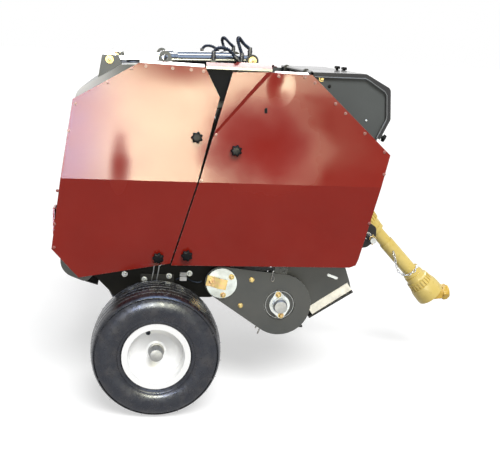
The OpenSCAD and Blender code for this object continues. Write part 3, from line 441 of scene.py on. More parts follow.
def lens(name, colour, rough=0.12):
    """Clear moulded plastic over a reflector, with coat gloss. Its ribs are painted darker in the grooves and
    lighter on top: painted shade and painted highlight.
    """
    finish, tree, shader = start_finish(name, colour, rough, coat=0.8, coat_rough=0.05)
    ribs = node(tree, "ShaderNodeTexWave", {"Vector": place(tree), "Scale": 55.0, "Distortion": 0.0},
                bands_direction="Z")
    tone = blend(tree, times(tree, ribs.outputs["Fac"], 0.45), colour,
                 tuple(min(1, c * 1.5 + 0.02) for c in colour))
    feed(tree, shader, colour=tone)
    relief(tree, shader, ribs.outputs["Fac"], 0.0008, 0.5)
    return finish


lamp_red = lens("lamp_red_lens", (0.42, 0.010, 0.012))
lamp_pale = lens("lamp_pale_lens", (0.62, 0.34, 0.30))

# %% [markdown]
# The imported record names a material slot for every finish, so that the part can be repainted later.

# %% [markdown]
# ## Dressing the solids
# Each solid keeps its shape and only changes its material. A small table says which finish belongs to which
# solid.

# %% Give every solid its finish
dress = {
    "frame_walls": wall_paint, "cross_tubes": chassis_paint, "ram_pins": gold_zinc,
    "axle_beam": chassis_paint, "gearbox": gearbox_cast, "hitch_arms": chassis_paint, "link_pins": zinc,
    "front_shields": red_paint, "front_shield_knobs": knob_plastic, "top_strips": strip_paint,
    "front_panel": graphite_paint, "wind_guard": graphite_paint, "guard_sheet": galvanised,
    "stand_sleeve": chassis_paint, "pick_pivots": pale_zinc,
    "bonnet_lid": bonnet_paint, "stand_leg": chassis_paint, "door_walls": door_paint,
    "door_skin": skin_paint, "rod_brackets": graphite_paint, "rod_pins": gold_zinc,
    "rear_shields": red_paint, "rear_shield_knobs": knob_plastic, "tail_lamps": lamp_red,
    "barrel_right": barrel_paint, "barrel_left": barrel_paint, "rod_right": bright_chrome,
    "rod_left": bright_chrome, "tyre_right": tyre_rubber,
    "tyre_left": tyre_rubber, "rim_right": rim_paint, "rim_left": rim_paint, "pick_sides": graphite_paint,
    "stripper_bands": graphite_paint, "reel": tine_steel, "reel_bearings": cast_grey,
    "pto_joint": tine_steel, "pto_near": guard_yellow, "pto_far": guard_yellow, "pto_yoke": yoke_paint,
    "hoses_right": hose_rubber, "hoses_left": hose_rubber,
}
for name in nodes:
    if "roller" in name:
        dress[name] = roller_steel
for name, finish in dress.items():
    mesh = nodes[name].data
    mesh.materials.clear()
    mesh.materials.append(finish)
print("dressed", len(dress), "solids; left plain:", sorted(set(nodes) - set(dress)))

# %% [markdown]
# ## Small tools for shapes
# Most small pieces on the machine are turned, bent from rod, or cut from plate. Three builders cover them:
# a lathe that turns a profile about an axis, a tube that follows a line of points, and a plate that gives
# an outline a thickness. Each adds to one mesh, so a piece made of several bits stays one object.

# %% Shape builders


def cross_axes(axis):
    """Two directions at right angles to an axis."""
    axis = Vector(axis).normalized()
    helper = Vector((0, 0, 1)) if abs(axis.z) < 0.9 else Vector((1, 0, 0))
    side = axis.cross(helper).normalized()
    return side, side.cross(axis).normalized()


def add_lathe(bm, profile, origin, axis, segments=40, closed=False):
    """Turns (radius, distance along the axis) pairs about an axis. A radius of 0 makes a pole."""
    origin, axis = Vector(origin), Vector(axis).normalized()
    side, over_it = cross_axes(axis)
    rings = []
    for radius, along in profile:
        middle_of_ring = origin + axis * along
        if radius < 1e-6:
            rings.append([bm.verts.new(middle_of_ring)])
            continue
        ring = []
        for i in range(segments):
            angle = math.tau * i / segments
            outward = math.cos(angle) * side + math.sin(angle) * over_it
            ring.append(bm.verts.new(middle_of_ring + radius * outward))
        rings.append(ring)
    pairs = list(zip(rings, rings[1:])) + ([(rings[-1], rings[0])] if closed else [])
    for a, b in pairs:
        for i in range(segments):
            j = (i + 1) % segments
            corners = [a[i % len(a)], a[j % len(a)], b[j % len(b)], b[i % len(b)]]
            corners = list(dict.fromkeys(corners))
            if len(corners) > 2:
                bm.faces.new(corners)


def smooth_line(points, steps=6):
    """A smooth line through points, as a bent rod or hose takes."""
    points = [Vector(p) for p in points]
    line = []
    for i in range(len(points) - 1):
        a, b = points[max(i - 1, 0)], points[i]
        c, d = points[i + 1], points[min(i + 2, len(points) - 1)]
        for k in range(steps):
            t = k / steps
            line.append(0.5 * (2 * b + (c - a) * t + (2 * a - 5 * b + 4 * c - d) * t * t
                               + (3 * b - a - 3 * c + d) * t ** 3))
    return line + [points[-1]]


def add_skin(bm, rings):
    """Quads between rings that have the same number of points."""
    for a, b in zip(rings, rings[1:]):
        for i in range(len(a)):
            j = (i + 1) % len(a)
            bm.faces.new((a[i], a[j], b[j], b[i]))


def add_tube(bm, points, radius, sides=10):
    """A round rod along points, with flat ends."""
    points = [Vector(p) for p in points]
    last = len(points) - 1
    ways = [(points[min(i + 1, last)] - points[max(i - 1, 0)]).normalized() for i in range(last + 1)]
    side = cross_axes(ways[0])[0]
    rings = []
    for point, way in zip(points, ways):
        side = (side - way * side.dot(way)).normalized()
        over_it = way.cross(side)
        rings.append([bm.verts.new(point + radius * (math.cos(math.tau * i / sides) * side
                                                     + math.sin(math.tau * i / sides) * over_it))
                      for i in range(sides)])
    add_skin(bm, rings)
    bm.faces.new(rings[0][::-1])
    bm.faces.new(rings[-1])


def add_plate(bm, outline, origin, along_u, along_v, thick, bevel=0.0):
    """A flat plate: its outline in two directions, thickened along the third."""
    along_u, along_v = Vector(along_u).normalized(), Vector(along_v).normalized()
    out = along_u.cross(along_v)
    low = [bm.verts.new(Vector(origin) + along_u * u + along_v * v) for u, v in outline]
    high = [bm.verts.new(p.co + out * thick) for p in low]
    made = [bm.faces.new(low[::-1]), bm.faces.new(high)]
    for i in range(len(low)):
        j = (i + 1) % len(low)
        made.append(bm.faces.new((low[i], low[j], high[j], high[i])))
    if bevel:
        edges = list({e for f in made for e in f.edges})
        bmesh.ops.bevel(bm, geom=edges, offset=bevel, segments=2, affect="EDGES", clamp_overlap=True)


def settle(name, mesh, body, stands_for=()):
    """Puts a finished mesh into the scene, on the body that carries it."""
    made = in_scene(name, mesh)
    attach(made, body)
    if stands_for:
        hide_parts(*stands_for)
    print(name, len(mesh.polygons), "faces")
    return made


def make_piece(name, bm, body, finish, stands_for=(), sharp=38):
    """Closes a mesh into an object that rides on a body."""
    bmesh.ops.remove_doubles(bm, verts=bm.verts, dist=1e-6)
    bmesh.ops.recalc_face_normals(bm, faces=bm.faces)
    mesh = bpy.data.meshes.new(name)
    bm.to_mesh(mesh)
    bm.free()
    mesh.materials.append(finish)
    mesh.shade_smooth()
    mesh.set_sharp_from_angle(angle=math.radians(sharp))
    return settle(name, mesh, body, stands_for)


print("shape builders ready")

# %% [markdown]
# ## Tyres
# The tyres are the ribbed kind for trailers: seven ribs round the tread, a deep line round the shoulder
# with a few bridges across it, and a plump side wall. A tyre is a turned form, so one half of its section
# is written down from the bead to the middle of the tread, mirrored, and turned about the axle.

# %% Turn the tyres
TYRE_R, GROOVE = 0.2285, 0.007
TYRE_STEPS, BRIDGES = 112, 8


def tread_half():
    """Half of the tyre's section, as (radius, distance from the middle), from the bead to the crown."""
    wall = [(0.1035, 0.0840), (0.1085, 0.0885), (0.1180, 0.0905), (0.1235, 0.0930), (0.1270, 0.0975),
            (0.1330, 0.1000), (0.1345, 0.0990), (0.1360, 0.1005), (0.1480, 0.1052), (0.1630, 0.1076),
            (0.1740, 0.1080), (0.1850, 0.1068), (0.1960, 0.1040), (0.2050, 0.1000), (0.2092, 0.0974),
            (0.2098, 0.0885), (0.2128, 0.0880), (0.2140, 0.0952), (0.2160, 0.0938), (0.2185, 0.0895),
            (0.2210, 0.0830), (0.2228, 0.0760)]
    tread = []
    for edge in (0.0690, 0.0430, 0.0170):
        crown = TYRE_R - 0.0052 * (edge / 0.076) ** 2
        tread += [(crown, edge), (crown - GROOVE, edge - 0.0012), (crown - GROOVE, edge - 0.0052),
                  (crown + 0.0004, edge - 0.0064)]
    return wall + tread


def make_tyre(side_name):
    hub = pivots["wheel_turn_" + side_name]
    half = tread_half()
    section = half + [(r, -y) for r, y in reversed(half)]
    bm = bmesh.new()
    add_lathe(bm, section + [(0.1000, -0.070), (0.1000, 0.070)], hub, (0, 1, 0), TYRE_STEPS, closed=True)
    for face_side in (-1, 1):
        for i in range(BRIDGES):
            angle = math.tau * (i + 0.5) / BRIDGES
            way = Vector((math.cos(angle), 0, math.sin(angle)))
            tangent = Vector((-math.sin(angle), 0, math.cos(angle)))
            bridge = hub + way * 0.2075 + Vector((0, face_side * 0.0900, 0))
            add_plate(bm, [(-0.004, 0), (0.004, 0), (0.004, 0.007), (-0.004, 0.007)], bridge, tangent, way,
                      0.0068 * (1 if tangent.cross(way).y * face_side > 0 else -1))
    return make_piece("tyre_" + side_name + "_ribbed", bm, nodes_body["tyre_" + side_name], tyre_rubber,
                      ("tyre_" + side_name,), 30)


for side_name, _ in SIDES:
    make_tyre(side_name)

# %% [markdown]
# Moulding leaves fine rubber hairs on a new tyre, where air left the mould. They are the same hair many
# times, so a node tree places them: it takes points with a direction, sets a thin cone on each, and makes
# all of it one mesh.

# %% Node tree helpers


def tree_with(name, sockets):
    """A geometry tree with named inputs, and its input and output nodes."""
    tree = bpy.data.node_groups.new(name, "GeometryNodeTree")
    tree.interface.new_socket("Geometry", in_out="INPUT", socket_type="NodeSocketGeometry")
    for key, kind in sockets:
        tree.interface.new_socket(key, in_out="INPUT", socket_type="NodeSocket" + kind)
    tree.interface.new_socket("Geometry", in_out="OUTPUT", socket_type="NodeSocketGeometry")
    return tree, node(tree, "NodeGroupInput"), node(tree, "NodeGroupOutput")


def socket_of(tree, key):
    return [s.identifier for s in tree.interface.items_tree if s.name == key and s.in_out == "INPUT"][0]


def grow(name, tree, base, values, body, finish, stands_for=()):
    """Runs a tree on a base mesh or curve and keeps the plain mesh it makes."""
    carrier = in_scene(name + "_base", base)
    modifier = carrier.modifiers.new("grow", "NODES")
    modifier.node_group = tree
    for key, value in values.items():
        modifier[socket_of(tree, key)] = value
    modifier[socket_of(tree, "Material")] = finish
    seen_by = bpy.context.evaluated_depsgraph_get()
    mesh = bpy.data.meshes.new_from_object(carrier.evaluated_get(seen_by))
    carrier.modifiers.remove(modifier)
    bpy.data.objects.remove(carrier)
    mesh.name = name
    if not mesh.materials:
        mesh.materials.append(finish)
    return settle(name, mesh, body, stands_for)


def points_mesh(name, spots):
    """Loose points, each with the direction it faces."""
    mesh = bpy.data.meshes.new(name)
    mesh.from_pydata([tuple(p) for p, _ in spots], [], [])
    aim = mesh.attributes.new("aim", "FLOAT_VECTOR", "POINT")
    for i, (_, way) in enumerate(spots):
        aim.data[i].vector = way
    return mesh


def end_tree(tree, shape, group_in, group_out):
    """Makes instances real, sets the finish, and hands the mesh out."""
    whole = node(tree, "GeometryNodeRealizeInstances", {"Geometry": shape})
    painted = node(tree, "GeometryNodeSetMaterial",
                   {"Geometry": whole.outputs["Geometry"], "Material": group_in.outputs["Material"]})
    tree.links.new(painted.outputs["Geometry"], group_out.inputs["Geometry"])


def point_value(tree, key):
    """A direction that the points carry."""
    return node(tree, "GeometryNodeInputNamedAttribute", {"Name": key},
                data_type="FLOAT_VECTOR").outputs["Attribute"]


def wire_ring(tree, steps, radius):
    """A circle to sweep, or to sweep along."""
    made = node(tree, "GeometryNodeCurvePrimitiveCircle", {"Resolution": steps, "Radius": radius})
    return made.outputs["Curve"]


def close_tree(tree, group_in, group_out, instance, spin_seed=1):
    """Sets the instance on the input's points along their aim, with a random spin, as one mesh."""
    dots = node(tree, "GeometryNodeMeshToPoints", {"Mesh": group_in.outputs["Geometry"]})
    turn_to = node(tree, "FunctionNodeAlignRotationToVector", {"Vector": point_value(tree, "aim")},
                   axis="Z")
    spin = node(tree, "FunctionNodeRandomValue", {"Max": math.tau, "Seed": spin_seed}, data_type="FLOAT")
    spin_value = [s for s in spin.outputs if s.type == "VALUE" and s.enabled][0]
    about = node(tree, "FunctionNodeAxisAngleToRotation", {"Axis": (0, 0, 1), "Angle": spin_value})
    both_turns = node(tree, "FunctionNodeRotateRotation",
                      {"Rotation": turn_to.outputs["Rotation"], "Rotate By": about.outputs["Rotation"]},
                      rotation_space="LOCAL")
    placed = node(tree, "GeometryNodeInstanceOnPoints", {
        "Points": dots.outputs["Points"], "Instance": instance, "Rotation": both_turns.outputs["Rotation"]})
    end_tree(tree, placed.outputs["Instances"], group_in, group_out)


def turned(tree, kind, values, lift):
    """A primitive moved up along its own axis by a number or a socket."""
    made = node(tree, kind, values)
    shift = node(tree, "ShaderNodeCombineXYZ", {"Z": lift})
    return node(tree, "GeometryNodeTransform",
                {"Geometry": made.outputs["Mesh"],
                 "Translation": shift.outputs["Vector"]}).outputs["Geometry"]


def calc(tree, operation, a, b):
    return node(tree, "ShaderNodeMath", {0: a, 1: b}, operation=operation).outputs[0]


def joined(tree, parts):
    made = node(tree, "GeometryNodeJoinGeometry")
    for part in parts:
        tree.links.new(part, made.inputs["Geometry"])
    return made.outputs["Geometry"]


print("tree helpers ready")

# %% [markdown]
# A hair could be drawn out of the tread one by one, but all of them differ only in place and direction. So
# three rows of points round each side of the tread are enough, and hairs that would meet the ground are
# left off.

# %% Node tree: moulding hairs
hair_tree, hair_in, hair_out = tree_with("moulding_hairs", [("Length", "Float"), ("Radius", "Float"),
                                                            ("Material", "Material")])
hair = turned(hair_tree, "GeometryNodeMeshCone",
              {"Vertices": 5, "Radius Top": 0.0001, "Radius Bottom": hair_in.outputs["Radius"],
               "Depth": hair_in.outputs["Length"]}, 0.0)
close_tree(hair_tree, hair_in, hair_out, hair)
GROUND_GAP, HAIRS = 0.012, 22
for side_name, _ in SIDES:
    hub = pivots["wheel_turn_" + side_name]
    spots = []
    for row, (radius, y, lean) in enumerate(((0.2205, 0.088, 0.5), (0.2235, 0.071, 0.1),
                                             (0.2275, 0.045, 0.0))):
        for face_side in (-1, 1):
            for i in range(HAIRS):
                angle = math.tau * (i + 0.37 * row + 0.21 * face_side) / HAIRS
                way = Vector((math.cos(angle), face_side * lean, math.sin(angle))).normalized()
                flat = Vector((math.cos(angle), 0, math.sin(angle)))
                root = hub + flat * (radius - 0.001) + Vector((0, face_side * y, 0))
                if root.z > GROUND_GAP:
                    spots.append((root, way))
    grow("tyre_hairs_" + side_name, hair_tree, points_mesh("hair_points", spots),
         {"Length": 0.007, "Radius": 0.0006}, nodes_body["tyre_" + side_name], tyre_rubber)

# %% [markdown]
# ## Wheel trim
# In the middle of each white rim sits a pressed grey dust cap, and a rubber valve leans out of the dish.

# %% Dust caps and valves
for side_name, side in SIDES:
    hub = pivots["wheel_turn_" + side_name]
    wheel = nodes_body["rim_" + side_name]
    out_way = Vector((0, side, 0))
    bm = bmesh.new()
    add_lathe(bm, [(0.0285, 0.036), (0.0285, 0.041), (0.0240, 0.043), (0.0236, 0.080), (0.0215, 0.0850),
                   (0.0120, 0.0875), (0, 0.088)], hub, out_way, 36)
    make_piece("dust_cap_" + side_name, bm, wheel, cap_steel)
    stem_way = Vector((-0.38, 0, 0.925))
    foot = hub + stem_way * 0.076 + out_way * 0.044
    lean = (out_way * 0.8 + stem_way * 0.6).normalized()
    bm = bmesh.new()
    add_lathe(bm, [(0, -0.006), (0.0095, -0.006), (0.0095, 0.003), (0.0065, 0.008), (0.0058, 0.028),
                   (0.0042, 0.029), (0.0042, 0.031), (0.0050, 0.031), (0.0050, 0.041), (0.0040, 0.043),
                   (0, 0.043)], foot,
              lean, 18)
    make_piece("valve_" + side_name, bm, wheel, hose_rubber)

# %% [markdown]
# ## Star knobs
# The shields are held by moulded star knobs with seven lobes, a domed top and a recess under the lobes. The
# outline is a circle whose radius waves seven times; rings of it, stacked with rounded edges, give the
# moulded look.

# %% Mould the knobs


def add_star(bm, origin, axis, radius=0.0208, tall=0.021, lobes=7):
    side, over_it = cross_axes(axis)
    axis = Vector(axis).normalized()
    steps = lobes * 10
    rings = []
    for share, up_by, wave in ((0.42, 0.0, 0.0), (0.44, 0.0055, 0.0), (0.93, 0.0075, 0.9),
                               (1.0, 0.0095, 1.0), (1.0, 0.0165, 1.0), (0.95, 0.0190, 0.9),
                               (0.80, 0.0203, 0.6), (0.50, 0.0212, 0.2)):
        ring = []
        for i in range(steps):
            angle = math.tau * i / steps
            r = radius * share * (1 - 0.115 * wave * (1 - math.cos(lobes * angle)))
            ring.append(bm.verts.new(Vector(origin) + axis * (up_by * tall / 0.021)
                                     + r * (math.cos(angle) * side + math.sin(angle) * over_it)))
        rings.append(ring)
    add_skin(bm, rings)
    bm.faces.new(rings[0][::-1])
    top = bm.verts.new(Vector(origin) + axis * tall)
    for i in range(steps):
        bm.faces.new((rings[-1][i], rings[-1][(i + 1) % steps], top))


KNOBS = {"front_shield_knobs": ((222, 124), (66, -253)), "rear_shield_knobs": ((86, 164), (-35, -264))}
for name, spots in KNOBS.items():
    bm = bmesh.new()
    for side in (-1, 1):
        for dx, dz in spots:
            add_star(bm, at(dx, side * 1000 * shield_y(dz / 1000), dz), shield_normal(dz / 1000, side))
    make_piece(name + "_moulded", bm, nodes_body[name], knob_plastic, (name,), 50)

# %% [markdown]
# ## Screws and bolts
# Small screws run along the shields' edges above the crease, and larger bolts with washers hold the
# chassis, the pick-up and the bonnet. One tree makes them all: a washer, a head with any number of sides,
# and a chamfered top, on points that know which way they face.

# %% Node tree: fasteners
bolt_tree, bolt_in, bolt_out = tree_with("fasteners", [
    ("Head radius", "Float"), ("Head height", "Float"), ("Sides", "Int"), ("Washer radius", "Float"),
    ("Washer height", "Float"), ("Material", "Material")])
washer_h, head_h = bolt_in.outputs["Washer height"], bolt_in.outputs["Head height"]
head_r = bolt_in.outputs["Head radius"]
washer = turned(bolt_tree, "GeometryNodeMeshCylinder",
                {"Vertices": 20, "Radius": bolt_in.outputs["Washer radius"], "Depth": washer_h},
                calc(bolt_tree, "MULTIPLY", washer_h, 0.5))
waist = calc(bolt_tree, "MULTIPLY", head_h, 0.7)
head = turned(bolt_tree, "GeometryNodeMeshCylinder",
              {"Vertices": bolt_in.outputs["Sides"], "Radius": head_r, "Depth": waist},
              calc(bolt_tree, "ADD", washer_h, calc(bolt_tree, "MULTIPLY", waist, 0.5)))
top_r = calc(bolt_tree, "MULTIPLY", head_r, 0.62)
crown = turned(bolt_tree, "GeometryNodeMeshCone",
               {"Vertices": bolt_in.outputs["Sides"], "Radius Top": top_r, "Radius Bottom": head_r,
                "Depth": calc(bolt_tree, "MULTIPLY", head_h, 0.3)},
               calc(bolt_tree, "ADD", washer_h, waist))
close_tree(bolt_tree, bolt_in, bolt_out, joined(bolt_tree, [washer, head, crown]), 7)


def bolts(name, spots, body, finish, head=0.0065, tall=0.006, sides=6, washer=0.009):
    return grow(name, bolt_tree, points_mesh(name + "_points", spots),
                {"Head radius": head, "Head height": tall, "Sides": sides, "Washer radius": washer,
                 "Washer height": 0.0016}, body, finish)


def on_shield(spots):
    """Screw places on both side shields, from places on the side plane."""
    return [(at(dx, side * 1000 * shield_y(dz / 1000), dz), shield_normal(dz / 1000, side))
            for side in (-1, 1) for dx, dz in spots]


def on_plane(spots, y):
    return [(at(dx, side * y, dz), Vector((0, side, 0))) for side in (-1, 1) for dx, dz in spots]


print("fastener tree:", len(bolt_tree.nodes), "nodes")

# %% [markdown]
# A place is given once, on the side plane, and both sides of the machine get a fastener there. Screws on a
# shield lean with its sheet, and bolts stand on the flat faces of wall, bracket, pivot, plate and flange.

# %% Set the screws and bolts
PIVOT_BOLT = (0.0080, 0.007, 6, 0.0105)
REAR_SCREWS = [(-139, 386), (-93, 396), (-2, 393), (61, 391), (103, 388), (-219, 336), (-324, 262),
               (-345, 172), (-380, -30), (-392, -150), (-395, -235)]
FRONT_SCREWS = [(363, 383), (455, 384), (491, 366), (567, 298), (604, 266), (676, 200), (750, 138),
                (752, 60), (716, -120), (150, 178), (104, 20)]
SCREW = {"head": 0.0042, "tall": 0.003, "sides": 12, "washer": 0.0055}
bolts("rear_shield_screws", on_shield(REAR_SCREWS), nodes_body["rear_shields"], screw_red, **SCREW)
bolts("front_shield_screws", on_shield(FRONT_SCREWS), nodes_body["front_shields"], screw_red, **SCREW)
WALL_OUT, BRACKET_OUT, PIVOT_OUT, PLATE_OUT, FLANGE_OUT = 356, 368, 412, 404, 410
WALL_BOLTS, BRACKET_BOLTS = [(-153, -355), (83, -349)], [(-81, -370), (8, -356)]
PIVOT_BOLTS, PLATE_BOLTS = [(233, -344), (205, -413)], [(309, -356), (272, -455)]
FLANGE_BOLTS = [(410, -410), (424, -490)]
CHASSIS_SPOTS = on_plane(WALL_BOLTS, WALL_OUT) + on_plane(BRACKET_BOLTS, BRACKET_OUT)
for name, spots, carrier, finish, sizes in (
        ("chassis_bolts", CHASSIS_SPOTS, "frame_walls", zinc, (0.0070, 0.007, 6, 0.0105)),
        ("bonnet_bolts", on_plane([(527, 377)], WALL_OUT), "frame_walls", gold_zinc, ()),
        ("bonnet_plugs", on_plane([(558, 353)], WALL_OUT), "frame_walls", knob_plastic,
         (0.0050, 0.002, 16, 0.0060)),
        ("bonnet_rivets", on_plane([(702, 237)], WALL_OUT), "frame_walls", zinc,
         (0.0032, 0.003, 12, 0.0042)),
        ("pivot_bolts", on_plane(PIVOT_BOLTS, PIVOT_OUT), "pick_pivots", gold_zinc, PIVOT_BOLT),
        ("pick_plate_bolts", on_plane(PLATE_BOLTS, PLATE_OUT), "pick_sides", gold_zinc,
         (0.0085, 0.006, 16, 0.0095)),
        ("bearing_bolts", on_plane(FLANGE_BOLTS, FLANGE_OUT), "reel_bearings", gold_zinc,
         (0.0085, 0.008, 6, 0.011))):
    bolts(name, spots, nodes_body[carrier], finish, *sizes)

# %% [markdown]
# ## Pick-up fittings
# A bent strip is bolted over each pivot disc, the reel's bearing carries a pressed steel cap, and a tab
# with a wire clip stands on top of the side plate.

# %% Pivot strip, bearing cap, tab and clip
reel_axis = pivots["reel_turn"]
pivot_axis = pivots["pickup_lower"]
for side_name, side in SIDES:
    out_way = Vector((0, side, 0))
    bm = bmesh.new()
    lie = Vector((math.cos(0.19), 0, -math.sin(0.19)))
    strip = [(-0.037, 0), (-0.011, 0), (0.007, 0.013), (0.037, 0.013), (0.037, 0.017), (0.005, 0.017),
             (-0.013, 0.004), (-0.037, 0.004)]
    stand = lie.cross(out_way)
    foot = pivot_axis + out_way * 0.4122 + Vector((-0.019, 0, 0.005)) - stand * 0.019
    add_plate(bm, strip, foot, lie, out_way, 0.038, 0.0006)
    make_piece("pivot_strip_" + side_name, bm, nodes_body["pick_pivots"], gold_zinc)
    bolts("pivot_strip_bolt_" + side_name, [(at(158, side * 416, -360), out_way)],
          nodes_body["pick_pivots"], gold_zinc, *PIVOT_BOLT)
    bm = bmesh.new()
    cap_at = reel_axis + out_way * 0.4215
    add_lathe(bm, [(0.0265, 0), (0.0265, 0.004), (0.0245, 0.008), (0.0240, 0.016), (0.0220, 0.0185),
                   (0.0100, 0.0192), (0, 0.0193)], cap_at, out_way, 36)
    make_piece("reel_cap_" + side_name, bm, nodes_body["reel_bearings"], cap_steel)
    bm = bmesh.new()
    add_lathe(bm, [(0.0515, 0.4035), (0.0529, 0.4035), (0.0529, 0.4049), (0.0515, 0.4049)],
              Vector((reel_axis.x, 0, reel_axis.z)), out_way, 64, closed=True)
    make_piece("recess_edge_" + side_name, bm, nodes_body["pick_sides"], zinc)
    bm = bmesh.new()
    tab = [(-0.022, -0.020), (0.026, -0.020), (0.026, 0.016), (0.018, 0.026), (-0.010, 0.026),
           (-0.022, 0.012)]
    add_plate(bm, tab, at(414, side * 392, -322), (1, 0, -0.1), (0.1, 0, 1), 0.006 * -side, 0.001)
    add_lathe(bm, [(0.0125, 0), (0.0125, 0.0035), (0.0075, 0.0035), (0.0075, 0)], at(424, side * 398, -318),
              out_way, 20, closed=True)
    make_piece("pick_tab_" + side_name, bm, nodes_body["pick_sides"], graphite_paint)
    clip = [at(386, side * 407, -318), at(383, side * 408, -340), at(380, side * 408, -353),
            at(385, side * 408, -359), at(391, side * 408, -354), at(389, side * 408, -340)]
    bm = bmesh.new()
    add_tube(bm, smooth_line(clip), 0.0014, 8)
    make_piece("wire_clip_" + side_name, bm, nodes_body["pick_sides"], tine_steel)

# %% [markdown]
# ## Hoses and cylinders
# The hoses are wrapped in a plastic spiral against chafing. The wrap repeats along the hose, so a node tree
# walks the hose's line and sets a slightly slanted band every few millimetres. Blackened crimps close the
# ends.

# %% Node tree: wrapped hose
wrap_tree, wrap_in, wrap_out = tree_with("wrapped_hose", [
    ("Hose radius", "Float"), ("Band radius", "Float"), ("Pitch", "Float"), ("Slant", "Float"),
    ("Material", "Material")])
hose_ring = wire_ring(wrap_tree, 16, wrap_in.outputs["Hose radius"])
core = node(wrap_tree, "GeometryNodeCurveToMesh",
            {"Curve": wrap_in.outputs["Geometry"], "Profile Curve": hose_ring, "Fill Caps": True})
stations = node(wrap_tree, "GeometryNodeCurveToPoints",
                {"Curve": wrap_in.outputs["Geometry"], "Length": wrap_in.outputs["Pitch"]}, mode="LENGTH")
band_ring = wire_ring(wrap_tree, 6, wrap_in.outputs["Band radius"])
band = node(wrap_tree, "GeometryNodeCurveToMesh", {"Curve": hose_ring, "Profile Curve": band_ring})
slant = node(wrap_tree, "ShaderNodeCombineXYZ", {"X": wrap_in.outputs["Slant"]})
leaning = node(wrap_tree, "GeometryNodeTransform",
               {"Geometry": band.outputs["Mesh"], "Rotation": slant.outputs["Vector"]})
bands = node(wrap_tree, "GeometryNodeInstanceOnPoints", {
    "Points": stations.outputs["Points"], "Instance": leaning.outputs["Geometry"],
    "Rotation": stations.outputs["Rotation"]})
wrapped = joined(wrap_tree, [core.outputs["Mesh"], bands.outputs["Instances"]])
end_tree(wrap_tree, wrapped, wrap_in, wrap_out)
print("wrapped hose tree:", len(wrap_tree.nodes), "nodes")

# %% [markdown]
# A hose's route is a short list of points, given from the cylinder's front pin. A smooth line goes through
# them, and the tree above dresses it. Both hoses of a cylinder become one mesh, as they ride on one barrel.

# %% Lay the hoses
PIN_FROM_MIDDLE = (280, 428)
RAM_Y, PORT_OUT = 298, 29.5
ROUTE_LOW = [(-138, 0, 12), (-138, 0, 18), (-138, 0, 23), (-126, 0, 37), (-107, 0, 40), (-86, 0, 34),
             (-70, 0, 20), (-62, 0, 12), (-54, 0, 4)]
ROUTE_HIGH = [(-38, 0, 10), (-38, 0, 15), (-38, 0, 20), (-46, 0, 42), (-53, 4, 64), (-50, 22, 76),
              (-40, 43, 70), (-24, 47, 54), (-6, 33.5, 40), (-6, 33.5, 35), (-6, 33.5, 30)]


def curve_through(name, lines):
    curve = bpy.data.curves.new(name, "CURVE")
    curve.dimensions = "3D"
    for line in lines:
        spline = curve.splines.new("POLY")
        spline.points.add(len(line) - 1)
        for point, place_at in zip(spline.points, line):
            point.co = (*place_at, 1)
    return curve


def from_pin(route, side):
    """Hose points, given from the cylinder's front pin, on one side of the machine."""
    return [at(PIN_FROM_MIDDLE[0] + x, side * (RAM_Y + PORT_OUT - inward), PIN_FROM_MIDDLE[1] + z)
            for x, inward, z in route]


for side_name, side in SIDES:
    lines = [smooth_line(from_pin(route, side)) for route in (ROUTE_LOW, ROUTE_HIGH)]
    barrel_body = nodes_body["barrel_" + side_name]
    grow("wrapped_hoses_" + side_name, wrap_tree, curve_through("hose_lines", lines),
         {"Hose radius": 0.0050, "Band radius": 0.0022, "Pitch": 0.0072, "Slant": 0.22}, barrel_body,
         hose_rubber, ("hoses_" + side_name,))
    bm = bmesh.new()
    for line in lines:
        for end, after in ((line[0], line[2]), (line[-1], line[-3])):
            way = (after - end).normalized()
            add_lathe(bm, [(0, -0.001), (0.0088, -0.001), (0.0088, 0.0035), (0.0074, 0.0040),
                           (0.0074, 0.0150), (0.0062, 0.0160), (0, 0.0160)], end, way, 18)
    make_piece("hose_crimps_" + side_name, bm, barrel_body, dark_steel)

# %% [markdown]
# A cylinder's mouth is closed by a gland nut with spanner holes and a wiper ring round the rod; the pins
# carry a washer and a grease nipple.

# %% Glands and pin caps
EYE_FROM_MIDDLE = (-218, 410)
for side_name, side in SIDES:
    pin = at(PIN_FROM_MIDDLE[0], side * RAM_Y, PIN_FROM_MIDDLE[1])
    eye = at(EYE_FROM_MIDDLE[0], side * RAM_Y, EYE_FROM_MIDDLE[1])
    way = (eye - pin).normalized()
    bm = bmesh.new()
    add_lathe(bm, [(0.0133, 0.293), (0.0212, 0.293), (0.0224, 0.2955), (0.0224, 0.3035), (0.0208, 0.3060),
                   (0.0175, 0.3068), (0.0168, 0.3105), (0.0133, 0.3115)], pin, way, 40, closed=True)
    for mark in (0.262, 0.270, 0.284):
        ridge = [(0.0246, mark), (0.0259, mark + 0.001), (0.0259, mark + 0.003), (0.0246, mark + 0.004)]
        add_lathe(bm, ridge, pin, way, 40, closed=True)
    make_piece("gland_" + side_name, bm, nodes_body["barrel_" + side_name], barrel_paint)
    out_way = Vector((0, side, 0))
    for name, spot, reach, carrier in (("front_pin_cap_", pin, 0.0400, "ram_pins"),
                                       ("rear_pin_cap_", eye, 0.0335, "rod_pins")):
        bm = bmesh.new()
        add_lathe(bm, [(0, 0), (0.0105, 0), (0.0110, 0.0012), (0.0108, 0.0030), (0.0060, 0.0034),
                       (0.0042, 0.0036), (0.0042, 0.0060), (0.0025, 0.0085),
                       (0, 0.0088)], spot + out_way * reach, out_way,
                  28)
        make_piece(name + side_name, bm, nodes_body[carrier], gold_zinc)

# %% [markdown]
# ## Drive shaft guards
# The plastic guards at both ends of the shaft are moulded bells: a smooth flared mouth, a belt of ribs with
# slots between them, and a ringed collar that turns on a bearing. All but the ribs is round, so the bell is
# turned from one profile. The far one has a wider mouth.

